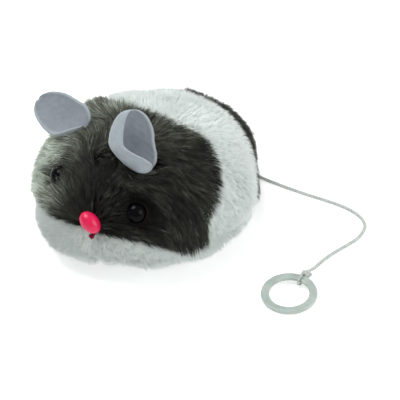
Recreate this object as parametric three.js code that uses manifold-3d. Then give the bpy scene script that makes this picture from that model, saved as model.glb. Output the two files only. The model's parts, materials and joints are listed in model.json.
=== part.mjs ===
// A plush toy mouse that a pull-cord clockwork shakes. Pulling the ring unwinds the cord from a drum and
// winds a mainspring inside it. The spring then rewinds the cord and spins an off-centre weight through
// an idler, and the mouse wriggles along the floor.
// Millimetres, +Z up, origin on the floor under the middle of the body. The nose points to -Y and the
// mouse's left side is +X.
import * as THREE from "three";
import { mergeVertices } from "three/addons/utils/BufferGeometryUtils.js";
import Module from "manifold-3d";

const wasm = await Module();
wasm.setup();

// ---------------------------------------------------------------- driving dimensions

// Plush body, measured over the pile
const BODY_LENGTH = 81;
const BODY_WIDTH = 65;
const BODY_HEIGHT = 38;
const WIDEST_Z = 9; // height of the widest section
const WIDEST_RISE = 1.5; // it is this much higher at the nose and lower at the rump
const SIDE_POWER = 0.92; // below 1 makes the dome fuller, above 1 leaner
const UNDER_POWER = 0.86;
const PLAN_POWER = 0.96;
const TAPER = 0.11; // the head end is wider and higher than the rump by this share
const FLATTEN = 1.12; // more than 1 cuts the underside flat
const PELT = 4; // backing cloth and pile together
const SEAM_GAP = 0.3;
const BAND_REAR_Y = 24.5; // seam between the white band and the dark rump

// Gear train
const GEAR_MODULE = 0.6;
const DRUM_TEETH = 44;
const IDLER_PINION_TEETH = 12;
const IDLER_GEAR_TEETH = 24;
const WEIGHT_PINION_TEETH = 10;
const DRUM_AXIS = new THREE.Vector2(-2.2, 9);
const WEIGHT_AXIS = new THREE.Vector2(-2.2, -12.5);

// Drum, cord and mainspring
const CORD_R = 0.5;
const WRAP_R = 9.5; // centreline radius of the cord on the drum
const WRAP_TURNS = 4.25;
const WRAP_PITCH = 1.3;
const WRAP_GAP = 0.35;
const FLANGE_R = 11.5;
const GROOVE_HALF = 3.3;
const SPRING_CAVITY_R = 7.9;
const SPRING_STRIP = 0.25;
const SPRING_TURNS = 6.5;
const SPRING_INNER_R = 2.9;
const SPRING_OUTER_R = 7.4;
const SPRING_END_GAP = 0.7;
const ARBOR_R = 2.4;

// Levels, from the floor up: the case, then the drum, the idler and the weight inside it
const CASE_BOTTOM = 4.5;
const CASE_TOP = 22.4;
const CASE_WALL = 1.3;
const CASE_INSIDE_BOTTOM = CASE_BOTTOM + CASE_WALL;
const CASE_INSIDE_TOP = CASE_TOP - CASE_WALL;
const CORD_Z = 10.7; // height of the cord and of the case's parting line
const PARTING_GAP = 0.1;
const INSIDE_CLEARANCE = 0.6;
const END_FLOAT = 0.4;
const DRUM_BOTTOM = CASE_INSIDE_BOTTOM + END_FLOAT;
const DRUM_GEAR_BOTTOM = 15.2;
const DRUM_GEAR_TOP = 17.4;
const IDLER_BOTTOM = DRUM_GEAR_BOTTOM - 0.3;
const IDLER_STEP = DRUM_GEAR_TOP + 0.6;
const IDLER_TOP = CASE_INSIDE_TOP - 1;
const WEIGHT_BOTTOM = DRUM_BOTTOM + 0.7;
const WEIGHT_TOP = IDLER_BOTTOM - 0.6;
const WEIGHT_R = 8.2;
const WEIGHT_HUB_R = 2.2;
const WEIGHT_RIM = 1.4; // width of the weight's narrow side round the hub
const WEIGHT_COLLAR_R = 3.2;
const WEIGHT_COLLAR_HEIGHT = 1;
const MERGE = 0.1; // how far joined solids run into each other

// Pins and screws
const DRUM_SHAFT_R = 1;
const AXLE_R = 0.9;
const PIN_CLEARANCE = 0.15;
const PIN_SEAT = 0.7; // depth of each blind seat in the case
const PIN_END_GAP = 0.1;
const SCREW_R = 1;
const SCREW_HOLE_R = 1.2;
const SCREW_HEAD_R = 1.9;
const SCREW_HEAD_RECESS = 1.6;
const CROSS_SLOT = [2.6, 0.5, 1.2]; // length, width and depth of each arm of the cross
const BOSS_R = 2.5;
const LUG_R = 3.2;

// Face and ears
const EYE_R = 3;
const EYE_SHANK_R = 1.1;
const EYE_DOME_BASE = 0.8;
const EYE_DOME_SHARE = 0.85; // the dome's height as a share of its radius
const EYE_SHANK_LENGTH = 4.5;
const EYE_SINK = 3; // how far the eye's back sits below the top of the pile
const WASHER_R = 3.2;
const WASHER_THICKNESS = 0.9;
const WASHER_TOP = -2.9; // below the eye's back
// The eyes and the nose are sewn on a little to the left, and the left eye lower than the right
const EYE_PLACES = {
  left: new THREE.Vector3(16.4, -31.2, 25.2),
  right: new THREE.Vector3(-13, -30.8, 27.9),
};
const NOSE_RADII = new THREE.Vector3(3.6, 2.6, 2.55);
const NOSE_TURN = THREE.MathUtils.degToRad(38);
const NOSE_PLACE = new THREE.Vector3(5.1, -38.3, 21.6);
const THREAD_R = 0.4;
const THREAD_KNOT_R = 1;
const THREAD_KNOT = new THREE.Vector3(5.8, -38.8, 17.3);
const THREAD_END = new THREE.Vector3(5.4, -36, 17.3);
const EAR_HEIGHT = 18.3;
const EAR_WIDTH = 13;
const EAR_DEPTH = 4.2; // half depth of the hollow where it is deepest
const EAR_FELT = 1.2;
const EAR_ROOT_DEPTH = 1.9;
const EAR_REAR_EDGE = 0.45; // where the rear edge sits round the ellipse, in radians
const EAR_PINCH = 2.6; // how far the root is drawn towards the rear edge

// Ring on the cord
const RING_OUTER_R = 8.2;
const RING_INNER_R = 5.8;
const RING_MIDDLE_R = (RING_OUTER_R + RING_INNER_R) / 2;
const RING_THICKNESS = 1.2;
const RING_HINGE = new THREE.Vector3(57, -6.5, 2.2); // middle of the band where the loop holds it
const LOOP_R = 1.8; // the loop is wide enough for the band to turn in it
const LOOP_CORD_R = 0.35;
const KNOT_R = 1.9;
const KNOT_Y = -3.5;
const KNOT_Z = 2.2;
// The band's far side rests on the floor
const RING_TILT = Math.asin((RING_HINGE.z - RING_THICKNESS / 2) / (RING_OUTER_R + RING_MIDDLE_R));

// ---------------------------------------------------------------- solids and meshes

function solid(geometry) {
  const bare = new THREE.BufferGeometry();
  const flat = geometry.index ? geometry.toNonIndexed() : geometry;
  bare.setAttribute("position", flat.getAttribute("position"));
  const merged = mergeVertices(bare, 1e-4);
  const corners = [];
  for (let i = 0; i < merged.index.count; i += 3) {
    const [a, b, c] = merged.index.array.slice(i, i + 3);
    if (a !== b && b !== c && c !== a) corners.push(a, b, c);
  }
  const vertProperties = merged.attributes.position.array;
  const build = (triVerts) => new wasm.Manifold(new wasm.Mesh({ numProp: 3, vertProperties, triVerts }));
  const made = build(new Uint32Array(corners));
  return made.volume() > 0 ? made : build(new Uint32Array(corners.reverse()));
}

function geometryOf(manifold) {
  const mesh = manifold.getMesh();
  const geometry = new THREE.BufferGeometry();
  geometry.setAttribute("position", new THREE.BufferAttribute(mesh.vertProperties.slice(), 3));
  geometry.setIndex(new THREE.BufferAttribute(new Uint32Array(mesh.triVerts), 1));
  geometry.computeVertexNormals();
  return geometry;
}

const cut = (body, ...tools) => tools.reduce((left, tool) => left.subtract(tool), body);
const join = (...bodies) => bodies.reduce((sum, body) => sum.add(body));

const group = new THREE.Group();

function addPart(name, shape, material, parent = group) {
  const mesh = new THREE.Mesh(shape.isBufferGeometry ? shape : geometryOf(shape), material);
  mesh.name = name;
  parent.add(mesh);
  return mesh;
}

const finish = (color, roughness, metalness = 0) =>
  new THREE.MeshStandardMaterial({ color, roughness, metalness });

const BROWN_FUR = finish("#4a443a", 0.95);
const WHITE_FUR = finish("#dde3df", 0.95);
const EAR_GREY = finish("#8b8f98", 0.9);
const BLACK_GLOSS = finish("#0a0a0c", 0.15);
const PINK_GLOSS = finish("#e8386f", 0.25);
const THREAD_RED = finish("#7d1533", 0.7);
const FIBRE_WHITE = finish("#f2f2ee", 1);
const CASE_PLASTIC = finish("#d9dbd6", 0.5);
const GEAR_PLASTIC = finish("#e9e4d4", 0.45);
const DRUM_PLASTIC = finish("#3f6fb0", 0.45);
const STEEL = finish("#9ea2a6", 0.3, 1);
const SPRING_STEEL = finish("#5c6670", 0.35, 1);
const CORD_GREY = finish("#c3c8c4", 0.8);
const RING_PLASTIC = finish("#b9c3bf", 0.35);

// ---------------------------------------------------------------- basic shapes

// A turned body about +Z through (x, y), from [radius, z] points that start and end on the axis.
function turned(profile, x = 0, y = 0, segments = 24) {
  const points = profile.map(([r, z]) => new THREE.Vector2(r, z));
  return solid(new THREE.LatheGeometry(points, segments).rotateX(Math.PI / 2).translate(x, y, 0));
}

const disc = (r, bottom, top, x = 0, y = 0, segments = 24) =>
  turned([[0, bottom], [r, bottom], [r, top], [0, top]], x, y, segments);

const Y_AXIS = new THREE.Vector3(0, 1, 0);
const Z_AXIS = new THREE.Vector3(0, 0, 1);

// A rod between two points.
function rod(radius, from, to, segments = 16) {
  const along = to.clone().sub(from);
  const turn = new THREE.Quaternion().setFromUnitVectors(Y_AXIS, along.clone().normalize());
  const middle = from.clone().add(to).multiplyScalar(0.5);
  return solid(
    new THREE.CylinderGeometry(radius, radius, along.length(), segments)
      .applyQuaternion(turn)
      .translate(middle.x, middle.y, middle.z),
  );
}

const rodAlongY = (radius, x, z, fromY, toY, segments = 16) =>
  rod(radius, new THREE.Vector3(x, fromY, z), new THREE.Vector3(x, toY, z), segments);

function slab(shape, bottom, top) {
  const block = new THREE.ExtrudeGeometry(shape, { depth: top - bottom, bevelEnabled: false });
  return solid(block.translate(0, 0, bottom));
}

function swept(curve, radius, steps, sides = 6) {
  const outline = new THREE.Shape();
  for (let i = 0; i < sides; i++) {
    const a = (2 * Math.PI * i) / sides;
    outline[i ? "lineTo" : "moveTo"](radius * Math.cos(a), radius * Math.sin(a));
  }
  return solid(new THREE.ExtrudeGeometry(outline, { steps, extrudePath: curve, bevelEnabled: false }));
}

// A polygon in the Y-Z plane, run through the whole width of the body.
function acrossBody(points) {
  const width = 2 * BODY_WIDTH;
  const shape = new THREE.Shape(points.map(([y, z]) => new THREE.Vector2(y, z)));
  const toYZ = new THREE.Matrix4().makeBasis(
    new THREE.Vector3(0, 1, 0),
    new THREE.Vector3(0, 0, 1),
    new THREE.Vector3(1, 0, 0),
  );
  const block = new THREE.ExtrudeGeometry(shape, { depth: width, bevelEnabled: false });
  return solid(block.translate(0, 0, -width / 2).applyMatrix4(toYZ));
}

// The smallest convex outline round a set of circles {x, y, r}, each grown by extra.
function outlineRound(circles, extra = 0) {
  const steps = 28;
  const points = circles.flatMap(({ x, y, r }) =>
    Array.from({ length: steps }, (_, i) => {
      const a = (2 * Math.PI * i) / steps;
      return [x + (r + extra) * Math.cos(a), y + (r + extra) * Math.sin(a)];
    }),
  );
  points.sort((p, q) => p[0] - q[0] || p[1] - q[1]);
  const turn = (o, p, q) => (p[0] - o[0]) * (q[1] - o[1]) - (p[1] - o[1]) * (q[0] - o[0]);
  const chain = (ordered) => {
    const kept = [];
    for (const p of ordered) {
      while (kept.length > 1 && turn(kept.at(-2), kept.at(-1), p) <= 1e-6) kept.pop();
      kept.push(p);
    }
    return kept.slice(0, -1);
  };
  const hull = [...chain(points), ...chain([...points].reverse())];
  return new THREE.Shape(hull.map(([x, y]) => new THREE.Vector2(x, y)));
}

// A straight-flanked gear outline. phase is the angle of one tooth's middle.
function gearOutline(teeth, phase, centre) {
  const pitchR = (GEAR_MODULE * teeth) / 2;
  const rootR = pitchR - 1.25 * GEAR_MODULE;
  const tipR = pitchR + 0.95 * GEAR_MODULE;
  const half = Math.PI / teeth;
  const flank = [[rootR, -0.6], [tipR, -0.24], [tipR, 0.24], [rootR, 0.6]];
  const points = [];
  for (let i = 0; i < teeth; i++) {
    for (const [r, share] of flank) {
      const a = phase + (2 * i + share) * half;
      points.push(new THREE.Vector2(centre.x + r * Math.cos(a), centre.y + r * Math.sin(a)));
    }
  }
  return new THREE.Shape(points);
}

// ---------------------------------------------------------------- plush body

const signedPower = (value, power) => Math.sign(value) * Math.abs(value) ** power;

const FLOOR_INSET_SHARE = 0.8; // the pelt is squeezed thinner where the mouse sits on it

// A point of the body's surface. rise runs from -90 degrees underneath to 90 degrees on top, and inset
// moves the surface inwards.
function bodyPoint(rise, turnAngle, inset) {
  const upper = rise > 0;
  const power = upper ? SIDE_POWER : UNDER_POWER;
  const reach = Math.max(Math.cos(rise), 0) ** power;
  const across = reach * signedPower(Math.cos(turnAngle), PLAN_POWER);
  const along = reach * signedPower(Math.sin(turnAngle), PLAN_POWER);
  const lift = Math.abs(Math.sin(rise)) ** power;
  const floor = FLOOR_INSET_SHARE * inset;
  const widest = WIDEST_Z - WIDEST_RISE * along;
  const top = BODY_HEIGHT - inset - widest;
  const z = upper
    ? widest + top * lift * (1 - TAPER * along)
    : Math.max(floor, widest - FLATTEN * (widest - floor) * lift);
  const x = (BODY_WIDTH / 2 - inset) * across * (1 - TAPER * along);
  return new THREE.Vector3(x, (BODY_LENGTH / 2 - inset) * along, z);
}

function bodySolid(inset, rows = 14, columns = 26) {
  const positions = [];
  const at = (i, j) =>
    bodyPoint(-Math.PI / 2 + (Math.PI * i) / rows, (2 * Math.PI * (j % columns)) / columns, inset);
  for (let i = 0; i < rows; i++) {
    for (let j = 0; j < columns; j++) {
      const [a, b, c, d] = [at(i, j), at(i, j + 1), at(i + 1, j + 1), at(i + 1, j)];
      for (const p of [a, b, c, a, c, d]) positions.push(p.x, p.y, p.z);
    }
  }
  const geometry = new THREE.BufferGeometry();
  geometry.setAttribute("position", new THREE.Float32BufferAttribute(positions, 3));
  return solid(geometry);
}

// Height of the seam between the coloured back panels and the white belly.
function bellySeamZ(y) {
  const towardsNose = THREE.MathUtils.smoothstep(-y, 14, 42);
  const towardsTail = THREE.MathUtils.smoothstep(y, -15, 40);
  return 9.4 + 9 * towardsNose - 1.7 * towardsTail;
}

// The seam between the head panel and the white band leans forward on its way down.
function headSeamY(z) {
  const down = THREE.MathUtils.smoothstep(BODY_HEIGHT - z, 4.5, 20);
  const corner = THREE.MathUtils.smoothstep(-z, -15, -8);
  return 1 - 17 * down - 7 * corner;
}

const BEYOND = 60; // outside the body in every direction
const SEAM_LOW = 6; // the head seam is drawn from below the belly seam
const SEAM_HIGH = 44;

function seamSteps(from, to, count) {
  return Array.from({ length: count + 1 }, (_, i) => from + ((to - from) * i) / count);
}

const bellyLine = (gap) => seamSteps(-BEYOND, BEYOND, 36).map((y) => [y, bellySeamZ(y) + gap]);
const headLine = (gap) => seamSteps(SEAM_LOW, SEAM_HIGH, 14).map((z) => [headSeamY(z) + gap, z]);

function makePelts() {
  const shell = cut(bodySolid(0), bodySolid(PELT));
  const above = acrossBody([...bellyLine(SEAM_GAP), [BEYOND, BEYOND], [-BEYOND, BEYOND]]);
  const below = acrossBody([...bellyLine(0), [BEYOND, -BEYOND], [-BEYOND, -BEYOND]]);
  const front = acrossBody([[-BEYOND, SEAM_LOW], ...headLine(0), [-BEYOND, SEAM_HIGH]]);
  const behindHead = acrossBody([...headLine(SEAM_GAP), [BAND_REAR_Y, SEAM_HIGH], [BAND_REAR_Y, SEAM_LOW]]);
  const rearY = BAND_REAR_Y + SEAM_GAP;
  const rear = acrossBody([[rearY, 0], [BEYOND, 0], [BEYOND, BEYOND], [rearY, BEYOND]]);
  const back = shell.intersect(above);
  return {
    head: back.intersect(front),
    band: back.intersect(behindHead),
    rump: back.intersect(rear),
    belly: shell.intersect(below),
  };
}

// ---------------------------------------------------------------- eyes, nose and ears

// The outward direction of the body's surface near a point, from the slope of the body's own formula.
function outwardAt(point) {
  const side = new THREE.Vector3(point.x / (BODY_WIDTH / 2) ** 2, point.y / (BODY_LENGTH / 2) ** 2, 0);
  side.z = (point.z - WIDEST_Z) / (BODY_HEIGHT - WIDEST_Z) ** 2;
  return side.normalize();
}

function facing(direction, place) {
  const turn = new THREE.Quaternion().setFromUnitVectors(Z_AXIS, direction);
  return new THREE.Matrix4().compose(place, turn, new THREE.Vector3(1, 1, 1));
}

const placed = (body, matrix) => solid(geometryOf(body).applyMatrix4(matrix));

function eyeFrame(place) {
  const outward = outwardAt(place);
  return facing(outward, place.clone().addScaledVector(outward, -EYE_SINK));
}

// A domed bead on a shank, domed side up, with its back at height 0.
function eyeBead() {
  const steps = 4;
  const dome = Array.from({ length: steps }, (_, i) => {
    const a = (Math.PI / 2) * (i / steps);
    return [EYE_R * Math.cos(a), EYE_DOME_BASE + EYE_DOME_SHARE * EYE_R * Math.sin(a)];
  });
  const shank = [[0, -EYE_SHANK_LENGTH], [EYE_SHANK_R, -EYE_SHANK_LENGTH], [EYE_SHANK_R, 0], [EYE_R, 0]];
  return turned([...shank, ...dome, [0, EYE_DOME_BASE + EYE_DOME_SHARE * EYE_R]], 0, 0, 16);
}

function eyeWasher() {
  const hole = disc(EYE_SHANK_R + PIN_CLEARANCE, 2 * WASHER_TOP, 0, 0, 0, 12);
  return cut(disc(WASHER_R, WASHER_TOP - WASHER_THICKNESS, WASHER_TOP, 0, 0, 16), hole);
}

// The hole through the pelt: a recess in the pile for the bead and a hole in the backing for the shank.
function eyeRecess() {
  const pileRoom = disc(EYE_R + 0.4, -0.4, 4 * EYE_R, 0, 0, 16);
  return join(pileRoom, disc(EYE_SHANK_R + SEAM_GAP, -2 * EYE_SHANK_LENGTH, 1, 0, 0, 12));
}

// The space in the stuffing for the washer and the end of the shank.
const washerRoom = () => disc(WASHER_R + 0.5, -EYE_SHANK_LENGTH - 2, -0.5, 0, 0, 16);

const noseBead = (grow) =>
  solid(
    new THREE.SphereGeometry(1, 14, 10)
      .scale(NOSE_RADII.x + grow, NOSE_RADII.y + grow, NOSE_RADII.z + grow)
      .rotateY(NOSE_TURN)
      .translate(NOSE_PLACE.x, NOSE_PLACE.y, NOSE_PLACE.z),
  );

const noseThread = (grow) =>
  join(
    solid(new THREE.SphereGeometry(THREAD_KNOT_R + grow, 8, 6).translate(...THREAD_KNOT)),
    rod(THREAD_R + grow, THREAD_KNOT, THREAD_END, 8),
  );

// A leaf of felt in its own frame, with its root at the origin, its tip along +Z and its hollow facing
// +Y. Every section across it is part of an ellipse. This is the point of section v, from 0 at the root to
// 1 at the tip, at the angle a round its ellipse, which starts at the rear edge and goes round the back.
function earPoint(a, v, offset, grow) {
  const share = THREE.MathUtils.lerp(0.04, 0.985, v);
  const spread = THREE.MathUtils.smoothstep(v, 0, 0.5);
  const halfWidth = (EAR_WIDTH / 2) * Math.sqrt(1 - (2 * share - 1) ** 2);
  const closing = (1 - 0.4 * v) * Math.sqrt(1 - (0.98 * v) ** 5); // the hollow gets shallow towards the tip
  const halfDepth = THREE.MathUtils.lerp(EAR_ROOT_DEPTH, EAR_DEPTH, spread) * closing;
  const normal = new THREE.Vector2(-Math.cos(a) / halfWidth, -Math.sin(a) / halfDepth).normalize();
  return new THREE.Vector3(
    EAR_PINCH * (spread - 1) - halfWidth * Math.cos(a) + offset * normal.x,
    -halfDepth * Math.sin(a) + offset * normal.y,
    EAR_HEIGHT * share + grow * (2 * v - 1),
  );
}

// A closed solid from two grids of points, outer(i, j) and inner(i, j), joined round their four edges.
function sheetSolid(outer, inner, across, up) {
  const positions = [];
  const quad = (a, b, c, d) => {
    for (const p of [a, b, c, a, c, d]) positions.push(p.x, p.y, p.z);
  };
  for (let i = 0; i < across; i++) {
    for (let j = 0; j < up; j++) {
      quad(outer(i, j), outer(i + 1, j), outer(i + 1, j + 1), outer(i, j + 1));
      quad(inner(i, j + 1), inner(i + 1, j + 1), inner(i + 1, j), inner(i, j));
    }
    quad(inner(i, 0), inner(i + 1, 0), outer(i + 1, 0), outer(i, 0));
    quad(outer(i, up), outer(i + 1, up), inner(i + 1, up), inner(i, up));
  }
  for (let j = 0; j < up; j++) {
    quad(outer(0, j), outer(0, j + 1), inner(0, j + 1), inner(0, j));
    quad(inner(across, j), inner(across, j + 1), outer(across, j + 1), outer(across, j));
  }
  const geometry = new THREE.BufferGeometry();
  geometry.setAttribute("position", new THREE.Float32BufferAttribute(positions, 3));
  return solid(geometry);
}

// The felt, whose front edge is folded over the hollow by one angle at the root and a smaller one above.
function earSheet({ rootFold, fold }) {
  const across = 10;
  const up = 7;
  const at = (i, j, offset) => {
    const v = j / up;
    const turned = THREE.MathUtils.lerp(rootFold, fold, THREE.MathUtils.smoothstep(v, 0, 0.5));
    return earPoint(THREE.MathUtils.lerp(EAR_REAR_EDGE, Math.PI + turned, i / across), v, offset, 0);
  };
  return sheetSolid((i, j) => at(i, j, EAR_FELT / 2), (i, j) => at(i, j, -EAR_FELT / 2), across, up);
}

// The recess in the pile round an ear's root: the whole ellipse of each of its lower sections.
function earPocket() {
  const around = 16;
  const levels = 6;
  const rise = 0.12; // of the ear's height, from one level to the next
  const offset = EAR_FELT / 2 + SEAM_GAP;
  const positions = [];
  const at = (i, j) => earPoint((2 * Math.PI * (i % around)) / around, rise * j, offset, SEAM_GAP);
  for (let i = 0; i < around; i++) {
    for (let j = 0; j < levels; j++) {
      const [a, b, c, d] = [at(i, j), at(i + 1, j), at(i + 1, j + 1), at(i, j + 1)];
      for (const p of [a, b, c, a, c, d]) positions.push(p.x, p.y, p.z);
    }
    if (i > 0 && i < around - 1) {
      for (const p of [at(0, 0), at(i + 1, 0), at(i, 0)]) positions.push(p.x, p.y, p.z);
      for (const p of [at(0, levels), at(i, levels), at(i + 1, levels)]) positions.push(p.x, p.y, p.z);
    }
  }
  const geometry = new THREE.BufferGeometry();
  geometry.setAttribute("position", new THREE.Float32BufferAttribute(positions, 3));
  return solid(geometry);
}

// Each ear's root, the way its felt points and the way its hollow opens. Soft ears don't sit alike: the
// left one stands, and the right one lies out to the side.
const EARS = {
  ear_left: {
    root: new THREE.Vector3(9.7, -22.3, 31.5),
    up: new THREE.Vector3(-0.2, 0.28, 0.94),
    open: new THREE.Vector3(0.52, -0.75, 0.33),
    rootFold: 2.5,
    fold: 1.1,
  },
  ear_right: {
    root: new THREE.Vector3(-12.9, -15.4, 35),
    up: new THREE.Vector3(-0.97, 0.04, 0.21),
    open: new THREE.Vector3(0.48, -0.68, 0.56),
    rootFold: 1,
    fold: 0.1,
  },
};

function earMatrix({ root, up, open }) {
  const zAxis = up.clone().normalize();
  const yAxis = open.clone().addScaledVector(zAxis, -open.dot(zAxis)).normalize();
  const xAxis = new THREE.Vector3().crossVectors(yAxis, zAxis);
  return new THREE.Matrix4().makeBasis(xAxis, yAxis, zAxis).setPosition(root);
}

// ---------------------------------------------------------------- gear train layout

const pitchRadius = (teeth) => (GEAR_MODULE * teeth) / 2;
const directionTo = (from, to) => Math.atan2(to.y - from.y, to.x - from.x);

// The point at distance nearA from a and nearB from b, on the +X side.
function meetPoint(a, nearA, b, nearB) {
  const apart = a.distanceTo(b);
  const along = (nearA ** 2 - nearB ** 2 + apart ** 2) / (2 * apart);
  const off = Math.sqrt(nearA ** 2 - along ** 2);
  const line = b.clone().sub(a).divideScalar(apart);
  return a.clone().addScaledVector(line, along).add(new THREE.Vector2(-line.y, line.x).multiplyScalar(off));
}

const IDLER_AXIS = meetPoint(
  DRUM_AXIS,
  pitchRadius(DRUM_TEETH) + pitchRadius(IDLER_PINION_TEETH),
  WEIGHT_AXIS,
  pitchRadius(IDLER_GEAR_TEETH) + pitchRadius(WEIGHT_PINION_TEETH),
);

// Teeth in mesh at rest: a gap of the driven gear faces a tooth of the driver.
const drumPhase = directionTo(DRUM_AXIS, IDLER_AXIS);
const idlerPinionPhase = drumPhase + Math.PI + Math.PI / IDLER_PINION_TEETH;
const idlerGearPhase = directionTo(IDLER_AXIS, WEIGHT_AXIS);
const weightPinionPhase = idlerGearPhase + Math.PI + Math.PI / WEIGHT_PINION_TEETH;

// ---------------------------------------------------------------- mechanism parts

const WEB_BOTTOM = CORD_Z + GROOVE_HALF; // the drum is closed above the spring

function makeDrum() {
  const groove = WRAP_R - CORD_R - WRAP_GAP;
  const grooveBottom = CORD_Z - GROOVE_HALF;
  const spoolTop = DRUM_GEAR_BOTTOM + MERGE;
  const spool = turned([
    [0, DRUM_BOTTOM], [FLANGE_R, DRUM_BOTTOM], [FLANGE_R, grooveBottom], [groove, grooveBottom],
    [groove, WEB_BOTTOM], [FLANGE_R, WEB_BOTTOM], [FLANGE_R, spoolTop], [0, spoolTop],
  ], DRUM_AXIS.x, DRUM_AXIS.y, 36);
  const gear = slab(gearOutline(DRUM_TEETH, drumPhase, DRUM_AXIS), DRUM_GEAR_BOTTOM, DRUM_GEAR_TOP);
  const cavity = disc(SPRING_CAVITY_R, 0, WEB_BOTTOM, DRUM_AXIS.x, DRUM_AXIS.y, 32);
  const bore = disc(DRUM_SHAFT_R + PIN_CLEARANCE, 0, CASE_TOP, DRUM_AXIS.x, DRUM_AXIS.y, 16);
  return cut(join(spool, gear), cavity, bore);
}

class Helix extends THREE.Curve {
  getPoint(t, target = new THREE.Vector3()) {
    const a = 2 * Math.PI * WRAP_TURNS * t;
    const rise = WRAP_PITCH * WRAP_TURNS * (t - 0.5);
    const { x, y } = DRUM_AXIS;
    return target.set(x + WRAP_R * Math.cos(a), y + WRAP_R * Math.sin(a), CORD_Z + rise);
  }
}

function makeMainspring() {
  const steps = Math.round(12 * SPRING_TURNS);
  const edge = (offset) =>
    Array.from({ length: steps + 1 }, (_, i) => {
      const r = THREE.MathUtils.lerp(SPRING_INNER_R, SPRING_OUTER_R, i / steps) + offset;
      const a = (2 * Math.PI * SPRING_TURNS * i) / steps;
      return new THREE.Vector2(DRUM_AXIS.x + r * Math.cos(a), DRUM_AXIS.y + r * Math.sin(a));
    });
  const strip = new THREE.Shape([...edge(SPRING_STRIP / 2), ...edge(-SPRING_STRIP / 2).reverse()]);
  return slab(strip, DRUM_BOTTOM + SPRING_END_GAP, WEB_BOTTOM - SPRING_END_GAP);
}

function makeIdler() {
  const pinionTeeth = gearOutline(IDLER_PINION_TEETH, idlerPinionPhase, IDLER_AXIS);
  const gearTeeth = gearOutline(IDLER_GEAR_TEETH, idlerGearPhase, IDLER_AXIS);
  const both = join(
    slab(pinionTeeth, IDLER_BOTTOM, IDLER_STEP + MERGE),
    slab(gearTeeth, IDLER_STEP, IDLER_TOP),
  );
  return cut(both, disc(AXLE_R + PIN_CLEARANCE, 0, CASE_TOP, IDLER_AXIS.x, IDLER_AXIS.y, 16));
}

function makeWeightPinion() {
  const { x, y } = WEIGHT_AXIS;
  const teethBottom = IDLER_STEP - 0.2;
  const outline = gearOutline(WEIGHT_PINION_TEETH, weightPinionPhase, WEIGHT_AXIS);
  const teeth = slab(outline, teethBottom, IDLER_TOP + 0.4);
  const collar = WEIGHT_TOP + PIN_CLEARANCE;
  const collarTop = collar + WEIGHT_COLLAR_HEIGHT;
  const hub = turned([
    [0, DRUM_BOTTOM], [WEIGHT_HUB_R, DRUM_BOTTOM], [WEIGHT_HUB_R, collar], [WEIGHT_COLLAR_R, collar],
    [WEIGHT_COLLAR_R, collarTop], [WEIGHT_HUB_R, collarTop], [WEIGHT_HUB_R, teethBottom + MERGE],
    [0, teethBottom + MERGE],
  ], x, y, 20);
  return cut(join(teeth, hub), disc(AXLE_R + PIN_CLEARANCE, 0, CASE_TOP, x, y, 16));
}

// Half a steel disc, so its centre of mass lies off the axle.
function makeWeight() {
  const { x, y } = WEIGHT_AXIS;
  const half = new THREE.Shape();
  half.absarc(x, y, WEIGHT_R, Math.PI, 2 * Math.PI, false);
  half.absarc(x, y, WEIGHT_HUB_R + WEIGHT_RIM, 0, Math.PI, false);
  const bore = disc(WEIGHT_HUB_R + PIN_CLEARANCE, 0, CASE_TOP, x, y, 20);
  return cut(slab(half, WEIGHT_BOTTOM, WEIGHT_TOP), bore);
}

// ---------------------------------------------------------------- case

const BOSSES = [new THREE.Vector2(-12, -17.2), new THREE.Vector2(12, -17.2)];
const CORNER_R = 4.2; // of the case round each boss
const LUG = new THREE.Vector2(DRUM_AXIS.x, DRUM_AXIS.y + 17.4);
const LUG_HEIGHT = 4.7; // above the parting line
const SCREWS = [...BOSSES, LUG];
const gearReach = (teeth) => pitchRadius(teeth) + GEAR_MODULE + INSIDE_CLEARANCE;
const CASE_ROUND = [
  { x: DRUM_AXIS.x, y: DRUM_AXIS.y, r: gearReach(DRUM_TEETH) },
  { x: IDLER_AXIS.x, y: IDLER_AXIS.y, r: gearReach(IDLER_GEAR_TEETH) },
  ...BOSSES.map(({ x, y }) => ({ x, y, r: CORNER_R })),
];

const CORD_X = DRUM_AXIS.x + WRAP_R; // the cord leaves the drum along +Y here
const GUIDE_R = 1.6;
const GUIDE_FLANGE_R = 2.5;
const CORD_CLEARANCE = 0.3;
const GUIDE_FROM = 18.4;
const GUIDE_TO = 24.2;

const PINS = [
  { name: "drum_shaft", r: DRUM_SHAFT_R, at: DRUM_AXIS },
  { name: "weight_axle", r: AXLE_R, at: WEIGHT_AXIS },
  { name: "idler_axle", r: AXLE_R, at: IDLER_AXIS },
];

const pinSeats = (bottom, top) =>
  PINS.map(({ r, at }) => disc(r + PIN_CLEARANCE, bottom, top, at.x, at.y, 16));

const screwHoles = () => SCREWS.map(({ x, y }) => disc(SCREW_HOLE_R, 0, CASE_INSIDE_TOP - 1, x, y, 12));
const guideHole = () => rodAlongY(GUIDE_R + PIN_CLEARANCE, CORD_X, CORD_Z, GUIDE_FROM - 3, GUIDE_TO + 6);

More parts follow.
